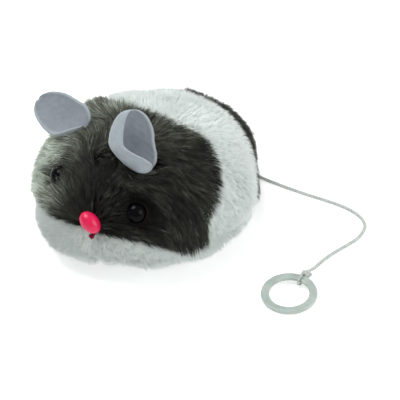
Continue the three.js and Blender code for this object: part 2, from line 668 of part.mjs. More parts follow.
function makeCaseBase() {
  const top = CORD_Z - PARTING_GAP / 2;
  const outside = slab(outlineRound(CASE_ROUND, CASE_WALL), CASE_BOTTOM, top);
  const inside = slab(outlineRound(CASE_ROUND), CASE_INSIDE_BOTTOM, top + 1);
  const bosses = BOSSES.map(({ x, y }) => disc(BOSS_R, CASE_INSIDE_BOTTOM - MERGE, top, x, y, 20));
  const lug = disc(LUG_R, CASE_BOTTOM, top, LUG.x, LUG.y, 20);
  const arborTop = WEB_BOTTOM - INSIDE_CLEARANCE;
  const arbor = disc(ARBOR_R, CASE_INSIDE_BOTTOM - MERGE, arborTop, DRUM_AXIS.x, DRUM_AXIS.y, 20);
  const headTop = CASE_BOTTOM + SCREW_HEAD_RECESS;
  const heads = SCREWS.map(({ x, y }) => disc(SCREW_HEAD_R + 0.2, 0, headTop, x, y, 16));
  const seats = pinSeats(CASE_INSIDE_BOTTOM - PIN_SEAT, WEB_BOTTOM);
  const body = join(cut(outside, inside), lug, arbor, ...bosses);
  return cut(body, ...heads, ...screwHoles(), ...seats, guideHole());
}

function makeCaseCover() {
  const bottom = CORD_Z + PARTING_GAP / 2;
  const outside = slab(outlineRound(CASE_ROUND, CASE_WALL), bottom, CASE_TOP);
  const inside = slab(outlineRound(CASE_ROUND), bottom - 1, CASE_INSIDE_TOP);
  const bosses = BOSSES.map(({ x, y }) => disc(BOSS_R, bottom, CASE_INSIDE_TOP + MERGE, x, y, 20));
  const lug = cut(disc(LUG_R, bottom, CORD_Z + LUG_HEIGHT, LUG.x, LUG.y, 20), inside);
  const seats = pinSeats(CASE_INSIDE_TOP - 1, CASE_INSIDE_TOP + PIN_SEAT);
  return cut(join(cut(outside, inside), lug, ...bosses), ...screwHoles(), ...seats, guideHole());
}

function makeScrew({ x, y }) {
  const head = CASE_BOTTOM + 0.2;
  const seat = CASE_BOTTOM + SCREW_HEAD_RECESS - 0.1;
  const end = CORD_Z + LUG_HEIGHT - 1.3;
  const body = turned([
    [0, head], [SCREW_HEAD_R, head], [SCREW_HEAD_R, seat],
    [SCREW_R, seat], [SCREW_R, end - SCREW_R], [0, end],
  ], x, y, 12);
  const [length, width, depth] = CROSS_SLOT;
  const across = solid(new THREE.BoxGeometry(length, width, depth).translate(x, y, head));
  const along = solid(new THREE.BoxGeometry(width, length, depth).translate(x, y, head));
  return cut(body, across, along);
}

const makeCordGuide = () =>
  cut(
    join(
      rodAlongY(GUIDE_R, CORD_X, CORD_Z, GUIDE_FROM, GUIDE_TO),
      rodAlongY(GUIDE_FLANGE_R, CORD_X, CORD_Z, GUIDE_TO - 1, GUIDE_TO),
    ),
    rodAlongY(CORD_R + CORD_CLEARANCE, CORD_X, CORD_Z, GUIDE_FROM - 1, GUIDE_TO + 1),
  );

// The space the case takes inside the plush.
const caseRoom = (gap, bottom = CASE_BOTTOM - gap) =>
  join(
    slab(outlineRound(CASE_ROUND, CASE_WALL + gap), bottom, CASE_TOP + gap),
    disc(LUG_R + gap, bottom, CASE_TOP + gap, LUG.x, LUG.y, 20),
  );

// ---------------------------------------------------------------- stuffing

const STUFFING_SPLIT = -1; // the two halves meet at this Y
const eyeFrames = Object.values(EYE_PLACES).map(eyeFrame);
const STUFFING_GAP = 0.4;

function makeStuffing(keepFront) {
  const fill = bodySolid(PELT + STUFFING_GAP, 10, 20);
  const cordRoom = rodAlongY(GUIDE_FLANGE_R + 0.5, CORD_X, CORD_Z, GUIDE_FROM - 3, BEYOND);
  const y = STUFFING_SPLIT + (keepFront ? -0.5 : 0.5) * SEAM_GAP;
  const end = keepFront ? -BEYOND : BEYOND;
  const side = acrossBody([[end, -BEYOND], [y, -BEYOND], [y, BEYOND], [end, BEYOND]]);
  const washerRooms = eyeFrames.map((frame) => placed(washerRoom(), frame));
  return cut(fill.intersect(side), caseRoom(STUFFING_GAP, 0), cordRoom, ...washerRooms);
}

// ---------------------------------------------------------------- cord, knot and ring

// The cord runs straight from the drum out of the rump, drops to the floor and curls round to the ring.
const CORD_PATH = [
  ...[14, 20, 26, 32, 38].map((y) => [CORD_X, y, CORD_Z]),
  [8.2, 41.4, 7.4], [10.2, 40.4, 2.8], [13.6, 36.4, 0.9], [18, 34, 0.6], [26, 33.4, 0.6], [36, 33.5, 0.6],
  [46, 34, 0.6], [52.5, 33.4, 0.6], [57.2, 31.3, 0.6], [60, 28, 0.6], [60.8, 22.4, 0.6], [59.8, 17.4, 0.6],
  [58.3, 12, 0.6], [57.3, 7, 0.6], [57.1, 1.2, 1.1], [RING_HINGE.x, KNOT_Y + KNOT_R + 0.35, KNOT_Z - 0.4],
];

function makeCord() {
  const points = CORD_PATH.map((p) => new THREE.Vector3(...p));
  return swept(new THREE.CatmullRomCurve3(points, false, "catmullrom", 0.4), CORD_R, 60);
}

// The ring lies on the floor at its far side and is held up a little by the loop.
function makeRing() {
  const half = RING_THICKNESS / 2;
  const corners = [[RING_INNER_R, -half], [RING_OUTER_R, -half], [RING_OUTER_R, half], [RING_INNER_R, half]];
  const profile = [...corners, corners[0]].map(([r, z]) => new THREE.Vector2(r, z));
  return solid(
    new THREE.LatheGeometry(profile, 40)
      .rotateX(Math.PI / 2)
      .translate(0, -RING_MIDDLE_R, 0)
      .rotateX(RING_TILT)
      .translate(RING_HINGE.x, RING_HINGE.y, RING_HINGE.z),
  );
}

// A knot behind the ring and a loop through it.
function makeKnot() {
  const { x, y, z } = RING_HINGE;
  const lump = solid(new THREE.SphereGeometry(KNOT_R, 12, 8).scale(1, 1, 0.95).translate(x, KNOT_Y, KNOT_Z));
  const torus = new THREE.TorusGeometry(LOOP_R, LOOP_CORD_R, 6, 18).rotateY(Math.PI / 2);
  const inside = LOOP_R - LOOP_CORD_R;
  const room = rod(inside, new THREE.Vector3(x - KNOT_R, y, z), new THREE.Vector3(x + KNOT_R, y, z), 20);
  return join(cut(lump, room), solid(torus.translate(x, y, z)));
}

// ---------------------------------------------------------------- assembly

const pelts = makePelts();
const earPockets = Object.values(EARS).map((ear) => placed(earPocket(), earMatrix(ear)));
const eyeRecesses = eyeFrames.map((frame) => placed(eyeRecess(), frame));
const noseRoom = join(noseBead(SEAM_GAP), noseThread(SEAM_GAP));
const cordExit = rodAlongY(2 * CORD_R, CORD_X, CORD_Z, GUIDE_FROM, BEYOND);
addPart("head_pelt", cut(pelts.head, ...eyeRecesses, ...earPockets, noseRoom), BROWN_FUR);
addPart("band_pelt", pelts.band, WHITE_FUR);
addPart("rump_pelt", cut(pelts.rump, cordExit), BROWN_FUR);
addPart("belly_pelt", cut(pelts.belly, caseRoom(SEAM_GAP), noseRoom), WHITE_FUR);

for (const [side, place] of Object.entries(EYE_PLACES)) {
  addPart("eye_" + side, placed(eyeBead(), eyeFrame(place)), BLACK_GLOSS);
  addPart("eye_washer_" + side, placed(eyeWasher(), eyeFrame(place)), FIBRE_WHITE);
}
for (const [name, ear] of Object.entries(EARS)) {
  addPart(name, placed(earSheet(ear), earMatrix(ear)), EAR_GREY);
}
addPart("nose_bead", noseBead(0), PINK_GLOSS);
addPart("nose_thread", noseThread(0), THREAD_RED);

addPart("stuffing_front", makeStuffing(true), FIBRE_WHITE);
addPart("stuffing_rear", makeStuffing(false), FIBRE_WHITE);

addPart("case_base", makeCaseBase(), CASE_PLASTIC);
addPart("case_cover", makeCaseCover(), CASE_PLASTIC);
SCREWS.forEach((place, i) => addPart("case_screw_" + (i + 1), makeScrew(place), STEEL));
addPart("cord_guide", makeCordGuide(), GEAR_PLASTIC);

const pinBottom = CASE_INSIDE_BOTTOM - PIN_SEAT + PIN_END_GAP;
const pinTop = CASE_INSIDE_TOP + PIN_SEAT - PIN_END_GAP;
for (const { name, r, at } of PINS) addPart(name, disc(r, pinBottom, pinTop, at.x, at.y, 16), STEEL);
addPart("cord_drum", makeDrum(), DRUM_PLASTIC);
addPart("cord_wraps", swept(new Helix(), CORD_R, 54, 5), CORD_GREY);
addPart("mainspring", makeMainspring(), SPRING_STEEL);
addPart("idler_gear", makeIdler(), GEAR_PLASTIC);
addPart("weight_pinion", makeWeightPinion(), GEAR_PLASTIC);
addPart("eccentric_weight", makeWeight(), STEEL);

addPart("pull_cord", makeCord(), CORD_GREY);
addPart("ring_knot", makeKnot(), CORD_GREY);
addPart("pull_ring", makeRing(), RING_PLASTIC);

export default group;
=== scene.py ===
"""The looks of a plush pull-cord mouse: cut-pile panels with modelled fur, felt ears, bead eyes and nose,
a twisted cord with a knotted ring, and the finish of every part of the motor inside.
Lengths are in millimetres until a mesh is made, in the frame of the CAD part: +Z up, nose to -Y."""
import json
import math

import bmesh
import bpy
import numpy as np
from mathutils import Matrix, Vector, kdtree


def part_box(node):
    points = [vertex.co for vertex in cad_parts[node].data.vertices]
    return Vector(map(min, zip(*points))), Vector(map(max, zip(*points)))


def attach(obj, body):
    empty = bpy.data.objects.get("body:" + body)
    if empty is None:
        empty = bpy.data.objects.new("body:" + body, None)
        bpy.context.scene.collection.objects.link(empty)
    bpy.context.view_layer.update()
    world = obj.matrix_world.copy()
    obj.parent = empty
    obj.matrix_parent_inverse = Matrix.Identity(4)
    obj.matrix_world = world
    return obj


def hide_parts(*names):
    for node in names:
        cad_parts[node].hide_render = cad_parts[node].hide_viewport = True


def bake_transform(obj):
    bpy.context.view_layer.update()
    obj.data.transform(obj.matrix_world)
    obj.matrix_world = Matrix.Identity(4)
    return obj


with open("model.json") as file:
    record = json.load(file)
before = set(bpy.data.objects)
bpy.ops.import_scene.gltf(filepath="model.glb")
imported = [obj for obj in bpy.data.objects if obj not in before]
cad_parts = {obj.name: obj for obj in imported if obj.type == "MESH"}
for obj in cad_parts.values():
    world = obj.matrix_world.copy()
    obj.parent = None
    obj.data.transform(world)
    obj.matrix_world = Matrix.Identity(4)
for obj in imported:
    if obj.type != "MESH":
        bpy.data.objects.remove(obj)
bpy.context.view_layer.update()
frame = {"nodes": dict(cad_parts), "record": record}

MM = 0.001
rng = np.random.default_rng(20)

# ---------------------------------------------------------------- driving dimensions

BODY_LENGTH, BODY_WIDTH, BODY_HEIGHT = 81.0, 65.0, 38.0
WIDEST_Z = 9.0
WIDEST_RISE = 1.5  # the widest section is this much higher at the nose and lower at the rump
SIDE_POWER, UNDER_POWER, PLAN_POWER = 0.92, 0.86, 0.96
TAPER = 0.11
FLATTEN = 1.12
BAND_REAR_Y = 24.5  # seam between the white band and the dark rump

BROWN_PILE, WHITE_PILE = 6.4, 2.9  # lengths of the fibres
BROWN_DEPTH, WHITE_DEPTH = 3.1, 2.2  # how far the backing lies below the top of the pile
CLOTH_THICKNESS = 0.8
SEAM_HALF_WIDTH = 1.3

EYE_R = 3.0
EYE_SINK = 3.0
EYES = {"left": np.array([16.4, -31.2, 25.2]), "right": np.array([-13.0, -30.8, 27.9])}
NOSE_RADII = np.array([3.6, 2.6, 2.55])
NOSE_PLACE = np.array([5.1, -38.3, 21.6])
THREAD_PLACE = np.array([5.8, -38.8, 17.3])
NOSE_TURN = math.radians(38)

EAR_HEIGHT, EAR_WIDTH, EAR_DEPTH = 18.3, 13.0, 4.2
EAR_FELT = 1.2
EAR_ROOT_DEPTH, EAR_REAR_EDGE = 1.9, 0.45
# folds: how far the front edge wraps round at the root and higher up, in radians
# pinch: how far the root is drawn towards the rear edge
EARS = {
    "ear_left": dict(
        root=(9.7, -22.3, 31.5), up=(-0.2, 0.28, 0.94), open=(0.52, -0.75, 0.33), folds=(2.5, 1.1), pinch=2.6,
    ),
    "ear_right": dict(
        root=(-12.9, -15.4, 35.0), up=(-0.97, 0.04, 0.21), open=(0.48, -0.68, 0.56), folds=(1, 0.1),
        pinch=1.2,
    ),
}

CORD_R = 0.58
RING_OUTER_R, RING_INNER_R, RING_THICKNESS = 8.2, 5.8, 1.2


def box_mm(node):
    low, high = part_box(node)
    return np.array(low) / MM, np.array(high) / MM


# ---------------------------------------------------------------- materials

def srgb(r, g, b):
    """A colour given as 0 to 255 display values, as the linear RGBA that nodes take."""
    channel = [c / 255 for c in (r, g, b)]
    return tuple(c / 12.92 if c < 0.04045 else ((c + 0.055) / 1.055) ** 2.4 for c in channel) + (1.0,)


class Nodes:
    """A material's node tree, with its Principled shader ready."""

    def __init__(self, name, roughness=0.5, metallic=0.0, **inputs):
        self.material = bpy.data.materials.new(name)
        self.material.use_nodes = True
        self.tree = self.material.node_tree
        self.shader = self.tree.nodes["Principled BSDF"]
        self.set(self.shader, Roughness=roughness, Metallic=metallic, **inputs)

    def set(self, node, **values):
        for key, value in values.items():
            node.inputs[key.replace("_", " ")].default_value = value
        return node

    def add(self, kind, **values):
        return self.set(self.tree.nodes.new("ShaderNode" + kind), **values)

    def link(self, a, b):
        self.tree.links.new(a, b)

    def ramp(self, source, stops):
        node = self.add("ValToRGB")
        while len(node.color_ramp.elements) < len(stops):
            node.color_ramp.elements.new(0.5)
        for element, (place, colour) in zip(node.color_ramp.elements, stops):
            element.position = place
            element.color = colour
        self.link(source, node.inputs["Fac"])
        return node.outputs["Color"]

    def mix(self, mode, factor, a, b):
        node = self.add("Mix")
        node.data_type = "RGBA"
        node.blend_type = mode
        for index, value in ((0, factor), (6, a), (7, b)):
            if isinstance(value, bpy.types.NodeSocket):
                self.link(value, node.inputs[index])
            else:
                node.inputs[index].default_value = value
        return node.outputs[2]

    def noise(self, scale, detail=4.0, stretch=None):
        """Noise in object space; scale is per metre, and stretch squeezes it along an axis."""
        place = self.add("TexCoord").outputs["Object"]
        if stretch:
            mapping = self.add("Mapping", Scale=stretch)
            self.link(place, mapping.inputs["Vector"])
            place = mapping.outputs["Vector"]
        node = self.add("TexNoise", Scale=scale, Detail=detail)
        self.link(place, node.inputs["Vector"])
        return node.outputs["Fac"]

    def bump(self, height, strength, distance):
        node = self.add("Bump", Strength=strength, Distance=distance)
        self.link(height, node.inputs["Height"])
        self.link(node.outputs["Normal"], self.shader.inputs["Normal"])

    def colour(self, socket):
        self.link(socket, self.shader.inputs["Base Color"])
        return self.material


def fur_material(name, stops, root, roughness, sheen, glow):
    """Colour from the fibre's own shade (U) and from its root to its tip (V). glow lets light through it."""
    m = Nodes(name, roughness, Sheen_Weight=sheen, Sheen_Roughness=0.4, Specular_IOR_Level=0.15)
    m.set(m.shader, Subsurface_Weight=glow, Subsurface_Scale=0.002)
    m.set(m.shader, Subsurface_Radius=(1.0, 1.0, 1.0))  # the same for each colour, so the glow has no tint
    uv = m.add("UVMap")
    uv.uv_map = "OFBake"
    parts = m.add("SeparateXYZ")
    m.link(uv.outputs["UV"], parts.inputs["Vector"])
    shade = m.ramp(parts.outputs["X"], stops)
    depth = m.ramp(parts.outputs["Y"], [(0.0, srgb(root, root, root)), (0.65, srgb(255, 255, 255))])
    return m.colour(m.mix("MULTIPLY", 1.0, shade, depth))


def cloth_material(name, dark, light):
    m = Nodes(name, 0.95, Specular_IOR_Level=0.1)
    tone = m.ramp(m.noise(900, 6), [(0.3, dark), (0.7, light)])
    knit = m.add("TexWave", Scale=1400.0, Distortion=2.0)
    m.link(m.add("TexCoord").outputs["Object"], knit.inputs["Vector"])
    m.bump(knit.outputs["Fac"], 0.4, 0.0002)
    return m.colour(tone)


def felt_material():
    """Painted shade: the felt is darker in the ear's hollow than outside, with the mottling of pressed
    fibres.
    """
    m = Nodes("ear_felt", 0.9, Sheen_Weight=0.35, Sheen_Roughness=0.5, Specular_IOR_Level=0.2)
    side = m.add("Attribute")
    side.attribute_name = "hollow"
    # painted shade: the hollow face takes the darker of the two felt colours
    base = m.ramp(side.outputs["Fac"], [(0.0, srgb(146, 154, 159)), (1.0, srgb(130, 136, 143))])
    mottle = m.ramp(m.noise(700, 8), [(0.3, srgb(240, 240, 243)), (0.7, srgb(255, 255, 255))])
    m.bump(m.noise(2600, 6), 0.5, 0.00015)
    return m.colour(m.mix("MULTIPLY", 1.0, base, mottle))


def gloss_material(name, dark, light, specular=0.5, roughness=0.12):
    m = Nodes(name, roughness, Specular_IOR_Level=specular)
    return m.colour(m.ramp(m.noise(350, 3), [(0.3, dark), (0.7, light)]))


def cord_material():
    m = Nodes("cord", 0.7, Sheen_Weight=0.2, Subsurface_Weight=0.15)
    m.set(m.shader, Subsurface_Scale=0.0005)
    tone = m.ramp(m.noise(1600, 6), [(0.3, srgb(150, 156, 153)), (0.7, srgb(190, 195, 192))])
    return m.colour(tone)


def ring_material():
    m = Nodes("ring_plastic", 0.28, Subsurface_Weight=0.35, Coat_Weight=0.25)
    m.set(m.shader, Subsurface_Scale=0.001)
    tone = m.ramp(m.noise(260, 4), [(0.3, srgb(146, 157, 152)), (0.7, srgb(166, 176, 171))])
    m.bump(m.noise(900, 3), 0.08, 0.0001)
    return m.colour(tone)


def plastic_material(name, dark, light, roughness=0.45):
    """Moulded plastic: a fine grain and slow changes of shade."""
    m = Nodes(name, roughness)
    m.bump(m.noise(4000, 2), 0.12, 0.00005)
    return m.colour(m.ramp(m.noise(180, 4), [(0.35, dark), (0.65, light)]))


def metal_material(name, dark, light, roughness=0.32):
    """Drawn metal, with streaks along its length."""
    m = Nodes(name, roughness, metallic=1.0)
    streaks = m.noise(1500, 6, stretch=(1.0, 1.0, 0.05))
    m.bump(streaks, 0.15, 0.00005)
    return m.colour(m.ramp(streaks, [(0.3, dark), (0.7, light)]))


# The light end of this ramp is where the painted rim light and painted top light on the brown fibres land.
BROWN_STOPS = [
    (0.0, srgb(4, 4, 4)), (0.35, srgb(36, 36, 30)), (0.62, srgb(86, 91, 79)), (1.0, srgb(208, 219, 205)),
]
WHITE_STOPS = [(0.0, srgb(202, 215, 212)), (0.5, srgb(214, 227, 223)), (1.0, srgb(226, 237, 233))]
FINISH = {
    "brown_fur": fur_material("brown_fur", BROWN_STOPS, 100, 0.6, 0.05, 0.1),
    "white_fur": fur_material("white_fur", WHITE_STOPS, 235, 0.8, 0.2, 0.6),
    "brown_cloth": cloth_material("brown_cloth", srgb(24, 21, 17), srgb(40, 36, 30)),
    "white_cloth": cloth_material("white_cloth", srgb(205, 212, 207), srgb(228, 233, 229)),
    "ear_felt": felt_material(),
    "eye_black": gloss_material("eye_black", srgb(2, 2, 3), srgb(6, 6, 8), 0.06, 0.05),
    "nose_pink": gloss_material("nose_pink", srgb(186, 16, 62), srgb(206, 28, 78), 0.3, 0.2),
    "thread_red": cloth_material("thread_red", srgb(90, 12, 36), srgb(140, 30, 62)),
    "fibre_fill": cloth_material("fibre_fill", srgb(225, 226, 222), srgb(250, 250, 248)),
    "washer_white": plastic_material("washer_white", srgb(228, 228, 224), srgb(240, 240, 236)),
    "case_plastic": plastic_material("case_plastic", srgb(206, 209, 204), srgb(221, 223, 219)),
    "gear_plastic": plastic_material("gear_plastic", srgb(226, 219, 199), srgb(238, 232, 215), 0.4),
    "drum_plastic": plastic_material("drum_plastic", srgb(50, 93, 160), srgb(64, 110, 178), 0.4),
    "steel": metal_material("steel", srgb(140, 143, 147), srgb(182, 185, 188)),
    "spring_steel": metal_material("spring_steel", srgb(62, 74, 92), srgb(104, 116, 132), 0.28),
    "cord": cord_material(),
    "ring_plastic": ring_material(),
}


# ---------------------------------------------------------------- meshes

def finish_piece(piece, slot, body, finish=None):
    piece.data.materials.clear()
    piece.data.materials.append(FINISH[finish or slot])
    if body:
        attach(piece, body)
    return piece


def new_piece(name, points, faces, smooth=True):
    """A mesh object from points in millimetres."""
    mesh = bpy.data.meshes.new(name)
    mesh.from_pydata((np.asarray(points, float) * MM).tolist(), [], [list(map(int, f)) for f in faces])
    mesh.polygons.foreach_set("use_smooth", np.full(len(mesh.polygons), smooth))
    piece = bpy.data.objects.new(name, mesh)
    bpy.context.scene.collection.objects.link(piece)
    return piece


def grid_faces(rows, columns, wrap_rows=False, wrap_columns=False, start=0, flip=False):
    """The quads of a grid of rows x columns points, numbered row by row from start."""
    faces = []
    for i in range(rows - (not wrap_rows)):
        for j in range(columns - (not wrap_columns)):
            a = start + i * columns + j
            b = start + i * columns + (j + 1) % columns
            c = start + (i + 1) % rows * columns + (j + 1) % columns
            d = start + (i + 1) % rows * columns + j
            faces.append((a, d, c, b) if flip else (a, b, c, d))
    return faces


def turned_piece(name, profile, matrix, segments=64):
    """A body turned about its own Z axis from [radius, z] points that run from the axis round to the axis."""
    angles = np.linspace(0, 2 * np.pi, segments, endpoint=False)
    points = [(0, 0, profile[0][1]), (0, 0, profile[-1][1])]
    rings = profile[1:-1]
    for r, z in rings:
        points += [(r * math.cos(a), r * math.sin(a), z) for a in angles]
    faces = grid_faces(len(rings), segments, wrap_columns=True, start=2)
    last = 2 + (len(rings) - 1) * segments
    for j in range(segments):
        k = (j + 1) % segments
        faces += [(0, 2 + k, 2 + j), (1, last + j, last + k)]
    placed = np.array([matrix @ Vector(p) for p in points])
    return new_piece(name, placed, faces)


def normalised(v):
    return v / np.maximum(np.linalg.norm(v, axis=-1, keepdims=True), 1e-9)


def smoothstep(x, low, high):
    t = np.clip((x - low) / (high - low), 0, 1)
    return t * t * (3 - 2 * t)


WAVES = [(normalised(rng.normal(size=3)), rng.uniform(0, 2 * np.pi)) for _ in range(24)]


def soft_noise(points, size, first=0):
    """Smooth noise from about -1 to 1 whose lumps are about size across."""
    total = 0
    for direction, phase in WAVES[first:first + 6]:
        bend = 3 * np.sin(points @ direction[::-1] / size)
        total = total + np.sin(points @ direction * (2 * np.pi / size) + phase + bend)
    return total / 3


def frames_along(path):
    """Unit tangents and two side directions along a path, carried along it without twisting."""
    tangents = normalised(np.gradient(path, axis=0))
    side = normalised(np.cross(tangents[0], (0.0, 0.3, 1.0)))
    sides = []
    for t in tangents:
        side = normalised(side - t * np.dot(side, t))
        sides.append(side)
    sides = np.array(sides)
    return tangents, sides, np.cross(tangents, sides)


def tube(path, radius, sides=8):
    """Points and faces of a closed tube along a path. The radius may change along it."""
    _, a, b = frames_along(path)
    angle = np.linspace(0, 2 * np.pi, sides, endpoint=False)
    radius = np.broadcast_to(radius, len(path))[:, None, None]
    ring = np.cos(angle)[None, :, None] * a[:, None] + np.sin(angle)[None, :, None] * b[:, None]
    points = (path[:, None] + radius * ring).reshape(-1, 3)
    faces = grid_faces(len(path), sides, wrap_columns=True)
    last = (len(path) - 1) * sides
    faces += [tuple(range(sides))[::-1], tuple(last + j for j in range(sides))]
    return points, faces


def joined(parts):
    """One list of points and faces from several."""
    points, faces, start = [], [], 0
    for part_points, part_faces in parts:
        points.append(part_points)
        faces += [tuple(start + i for i in f) for f in part_faces]
        start += len(part_points)
    return np.concatenate(points), faces


# ---------------------------------------------------------------- plush body

def signed_power(value, power):
    return np.sign(value) * np.abs(value) ** power


def top_of_pile(rise, turn):
    """The body's surface over the pile. rise runs from -90 degrees underneath to 90 on top."""
    upper = rise > 0
    power = np.where(upper, SIDE_POWER, UNDER_POWER)
    reach = np.maximum(np.cos(rise), 1e-6) ** power
    across = reach * signed_power(np.cos(turn), PLAN_POWER)
    along = reach * signed_power(np.sin(turn), PLAN_POWER)
    lift = np.abs(np.sin(rise)) ** power
    widest = WIDEST_Z - WIDEST_RISE * along
    above = widest + (BODY_HEIGHT - widest) * lift * (1 - TAPER * along)
    below = np.maximum(0, widest - FLATTEN * widest * lift)
    z = np.where(upper, above, below)
    return np.stack([BODY_WIDTH / 2 * across * (1 - TAPER * along), BODY_LENGTH / 2 * along, z], -1)


def outward(surface, rise, turn):
    step = 2e-3
    by_rise = surface(rise + step, turn) - surface(rise - step, turn)
    by_turn = surface(rise, turn + step) - surface(rise, turn - step)
    return normalised(np.cross(by_turn, by_rise))


def belly_seam_z(y):
    """Highest under the nose, a little raised where the head panel ends, and low round the rump."""
    front = 9.0 * smoothstep(-y, 14, 42) + 2.0 * np.exp(-((y + 14) / 7) ** 2)
    return 9.4 + front - 1.7 * smoothstep(y, -15, 12) - 4.5 * smoothstep(y, 10, 20)


def head_seam_y(x, z):
    """The seam runs furthest forward on the body's ridge and drops forward again down both sides."""
    over_top = -2 + 3.5 * smoothstep(np.abs(x), 0, 16) + 3 * smoothstep(-x, 14, 20)
    return over_top - 16 * smoothstep(BODY_HEIGHT - z, 3.5, 21.5) - 3 * smoothstep(-z, -14, -7)


def rump_seam_y(z):
    return BAND_REAR_Y + 1.5 * smoothstep(z, 26, 34) - 8 * smoothstep(-z, -17, -7)


def seam_offsets(p):
    """How far a point lies above the belly seam, behind the head seam and behind the rump seam."""
    x, y, z = np.moveaxis(p, -1, 0)
    return z - belly_seam_z(y), y - head_seam_y(x, z), y - rump_seam_y(z)


PANELS = ["belly", "head", "band", "rump"]
BROWN_PANELS = ("head", "rump")


def panel_of(p):
    over_belly, behind_head, behind_band = seam_offsets(p)
    back = np.where(behind_head < 0, 1, np.where(behind_band < 0, 2, 3))
    return np.where(over_belly < 0, 0, back)


def brown_share(p):
    """1 on the brown panels, 0 on the white ones, soft across the seams."""
    over_belly, behind_head, behind_band = seam_offsets(p)
    head = smoothstep(-behind_head, -SEAM_HALF_WIDTH, SEAM_HALF_WIDTH)
    rump = smoothstep(behind_band, -SEAM_HALF_WIDTH, SEAM_HALF_WIDTH)
    return np.maximum(head, rump) * smoothstep(over_belly, -SEAM_HALF_WIDTH, SEAM_HALF_WIDTH)


def seam_distance(p):
    over_belly, behind_head, behind_band = seam_offsets(p)
    on_back = np.where(over_belly > 0, np.minimum(np.abs(behind_head), np.abs(behind_band)), 99)
    return np.minimum(np.abs(over_belly), on_back)


def outward_at(place):
    slope = np.array([
        place[0] / (BODY_WIDTH / 2) ** 2,
        place[1] / (BODY_LENGTH / 2) ** 2,
        (place[2] - WIDEST_Z) / (BODY_HEIGHT - WIDEST_Z) ** 2,
    ])
    return normalised(slope)


UNEVEN_STUFFING = [  # centre and spread of each place that is fuller or thinner, and by how much
    ((-22.0, 0.0, 31.0), 10.0, 2.2),  # behind the right ear
    ((31.0, 4.0, 5.0), 13.0, 1.7),  # low on the left flank
    ((29.0, -16.0, 4.0), 8.0, 1.0),  # below the left cheek
    ((22.0, 28.0, 14.0), 9.0, -1.3),  # left corner of the rump
    ((-24.0, -30.0, 12.0), 9.0, -1.9),  # right cheek
    ((12.0, -36.0, 4.0), 6.0, -1.6),  # left of the chin
    ((-8.0, -39.0, 9.0), 6.0, 1.2),  # right of the chin
]


def fullness(p):
    """How far the stuffing pushes the cloth out at p."""
    total = 0
    for place, spread, rise in UNEVEN_STUFFING:
        total = total + rise * np.exp(-np.sum((p - place) ** 2, -1) / spread ** 2)
    return total


guide_low, guide_high = box_mm("cord_guide")
guide_middle = (guide_low + guide_high) / 2
CORD_EXIT = np.array([guide_middle[0], BODY_LENGTH / 2 - 2, guide_middle[2]])


def flat_share(n):
    """1 where the body lies flat on the floor, 0 on the rest of it."""
    return smoothstep(-n[..., 2], 0.85, 0.97)


SEAM_DEPTH = 0.9
LUMP_DEPTH, LUMP_SIZE = 0.35, 17
SOCKET_DEPTH, SOCKET_R = 1.1, 4.6
CREASE_DEPTH, CREASE_HALF_WIDTH = 1.7, 1.7  # the crease under the nose


def backing(rise, turn):
    """The face of the cloth that the pile grows from, with stuffing lumps, sewn seams and eye hollows."""
    p = top_of_pile(rise, turn)
    n = outward(top_of_pile, rise, turn)
    flat = flat_share(n)
    depth = WHITE_DEPTH + (BROWN_DEPTH - WHITE_DEPTH) * brown_share(p)
    depth = depth + SEAM_DEPTH * np.exp(-(seam_distance(p) / SEAM_HALF_WIDTH) ** 2) * (1 - flat)
    depth = depth - (LUMP_DEPTH * soft_noise(p, LUMP_SIZE) + fullness(p)) * (1 - flat)
    for eye in EYES.values():
        depth = depth + SOCKET_DEPTH * np.exp(-np.sum((p - eye) ** 2, -1) / SOCKET_R ** 2)
    beside_nose = p[..., 0] - NOSE_PLACE[0] - 1
    chin = np.exp(-(beside_nose / CREASE_HALF_WIDTH) ** 2) * smoothstep(-p[..., 1], 24, 34)
    depth = depth + CREASE_DEPTH * chin * smoothstep(-p[..., 2], -16, -12) * (1 - 0.7 * flat)
    return p - n * depth[..., None]


def make_cloth():
    """The four sewn panels of backing cloth, each a closed sheet that meets its neighbours at the seams."""
    rows, columns = 110, 200
    rise = np.linspace(-np.pi / 2 + 0.004, np.pi / 2 - 0.004, rows)[:, None] + np.zeros((1, columns))
    turn = np.linspace(-np.pi, np.pi, columns, endpoint=False)[None, :] + np.zeros((rows, 1))
    outer = backing(rise, turn)
    inner = outer - CLOTH_THICKNESS * outward(backing, rise, turn)
    outer, inner = outer.reshape(-1, 3), inner.reshape(-1, 3)
    faces = np.array(grid_faces(rows, columns, wrap_columns=True))
    panel = panel_of(top_of_pile(rise, turn).reshape(-1, 3)[faces].mean(1))
    for index, name in enumerate(PANELS):
        chosen = faces[panel == index]
        edges = {}
        for face in chosen:
            for a, b in zip(face, np.roll(face, -1)):
                edges[(a, b)] = edges.get((a, b), 0) + 1
        rim = [e for e in edges if (e[1], e[0]) not in edges]
        used, place = np.unique(chosen, return_inverse=True)
        where = {vertex: i for i, vertex in enumerate(used)}
        top = place.reshape(-1, 4)
        count = len(used)
        walls = [(where[b], where[a], where[a] + count, where[b] + count) for a, b in rim]
        sheet = [tuple(f) for f in top] + [tuple(f[::-1] + count) for f in top] + walls
        piece = new_piece(name + "_cloth", np.concatenate([outer[used], inner[used]]), sheet)
        colour = "brown" if name in BROWN_PANELS else "white"
        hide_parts(name + "_pelt")
        finish_piece(piece, colour + "_fur", "mouse_body", colour + "_cloth")


# ---------------------------------------------------------------- fur

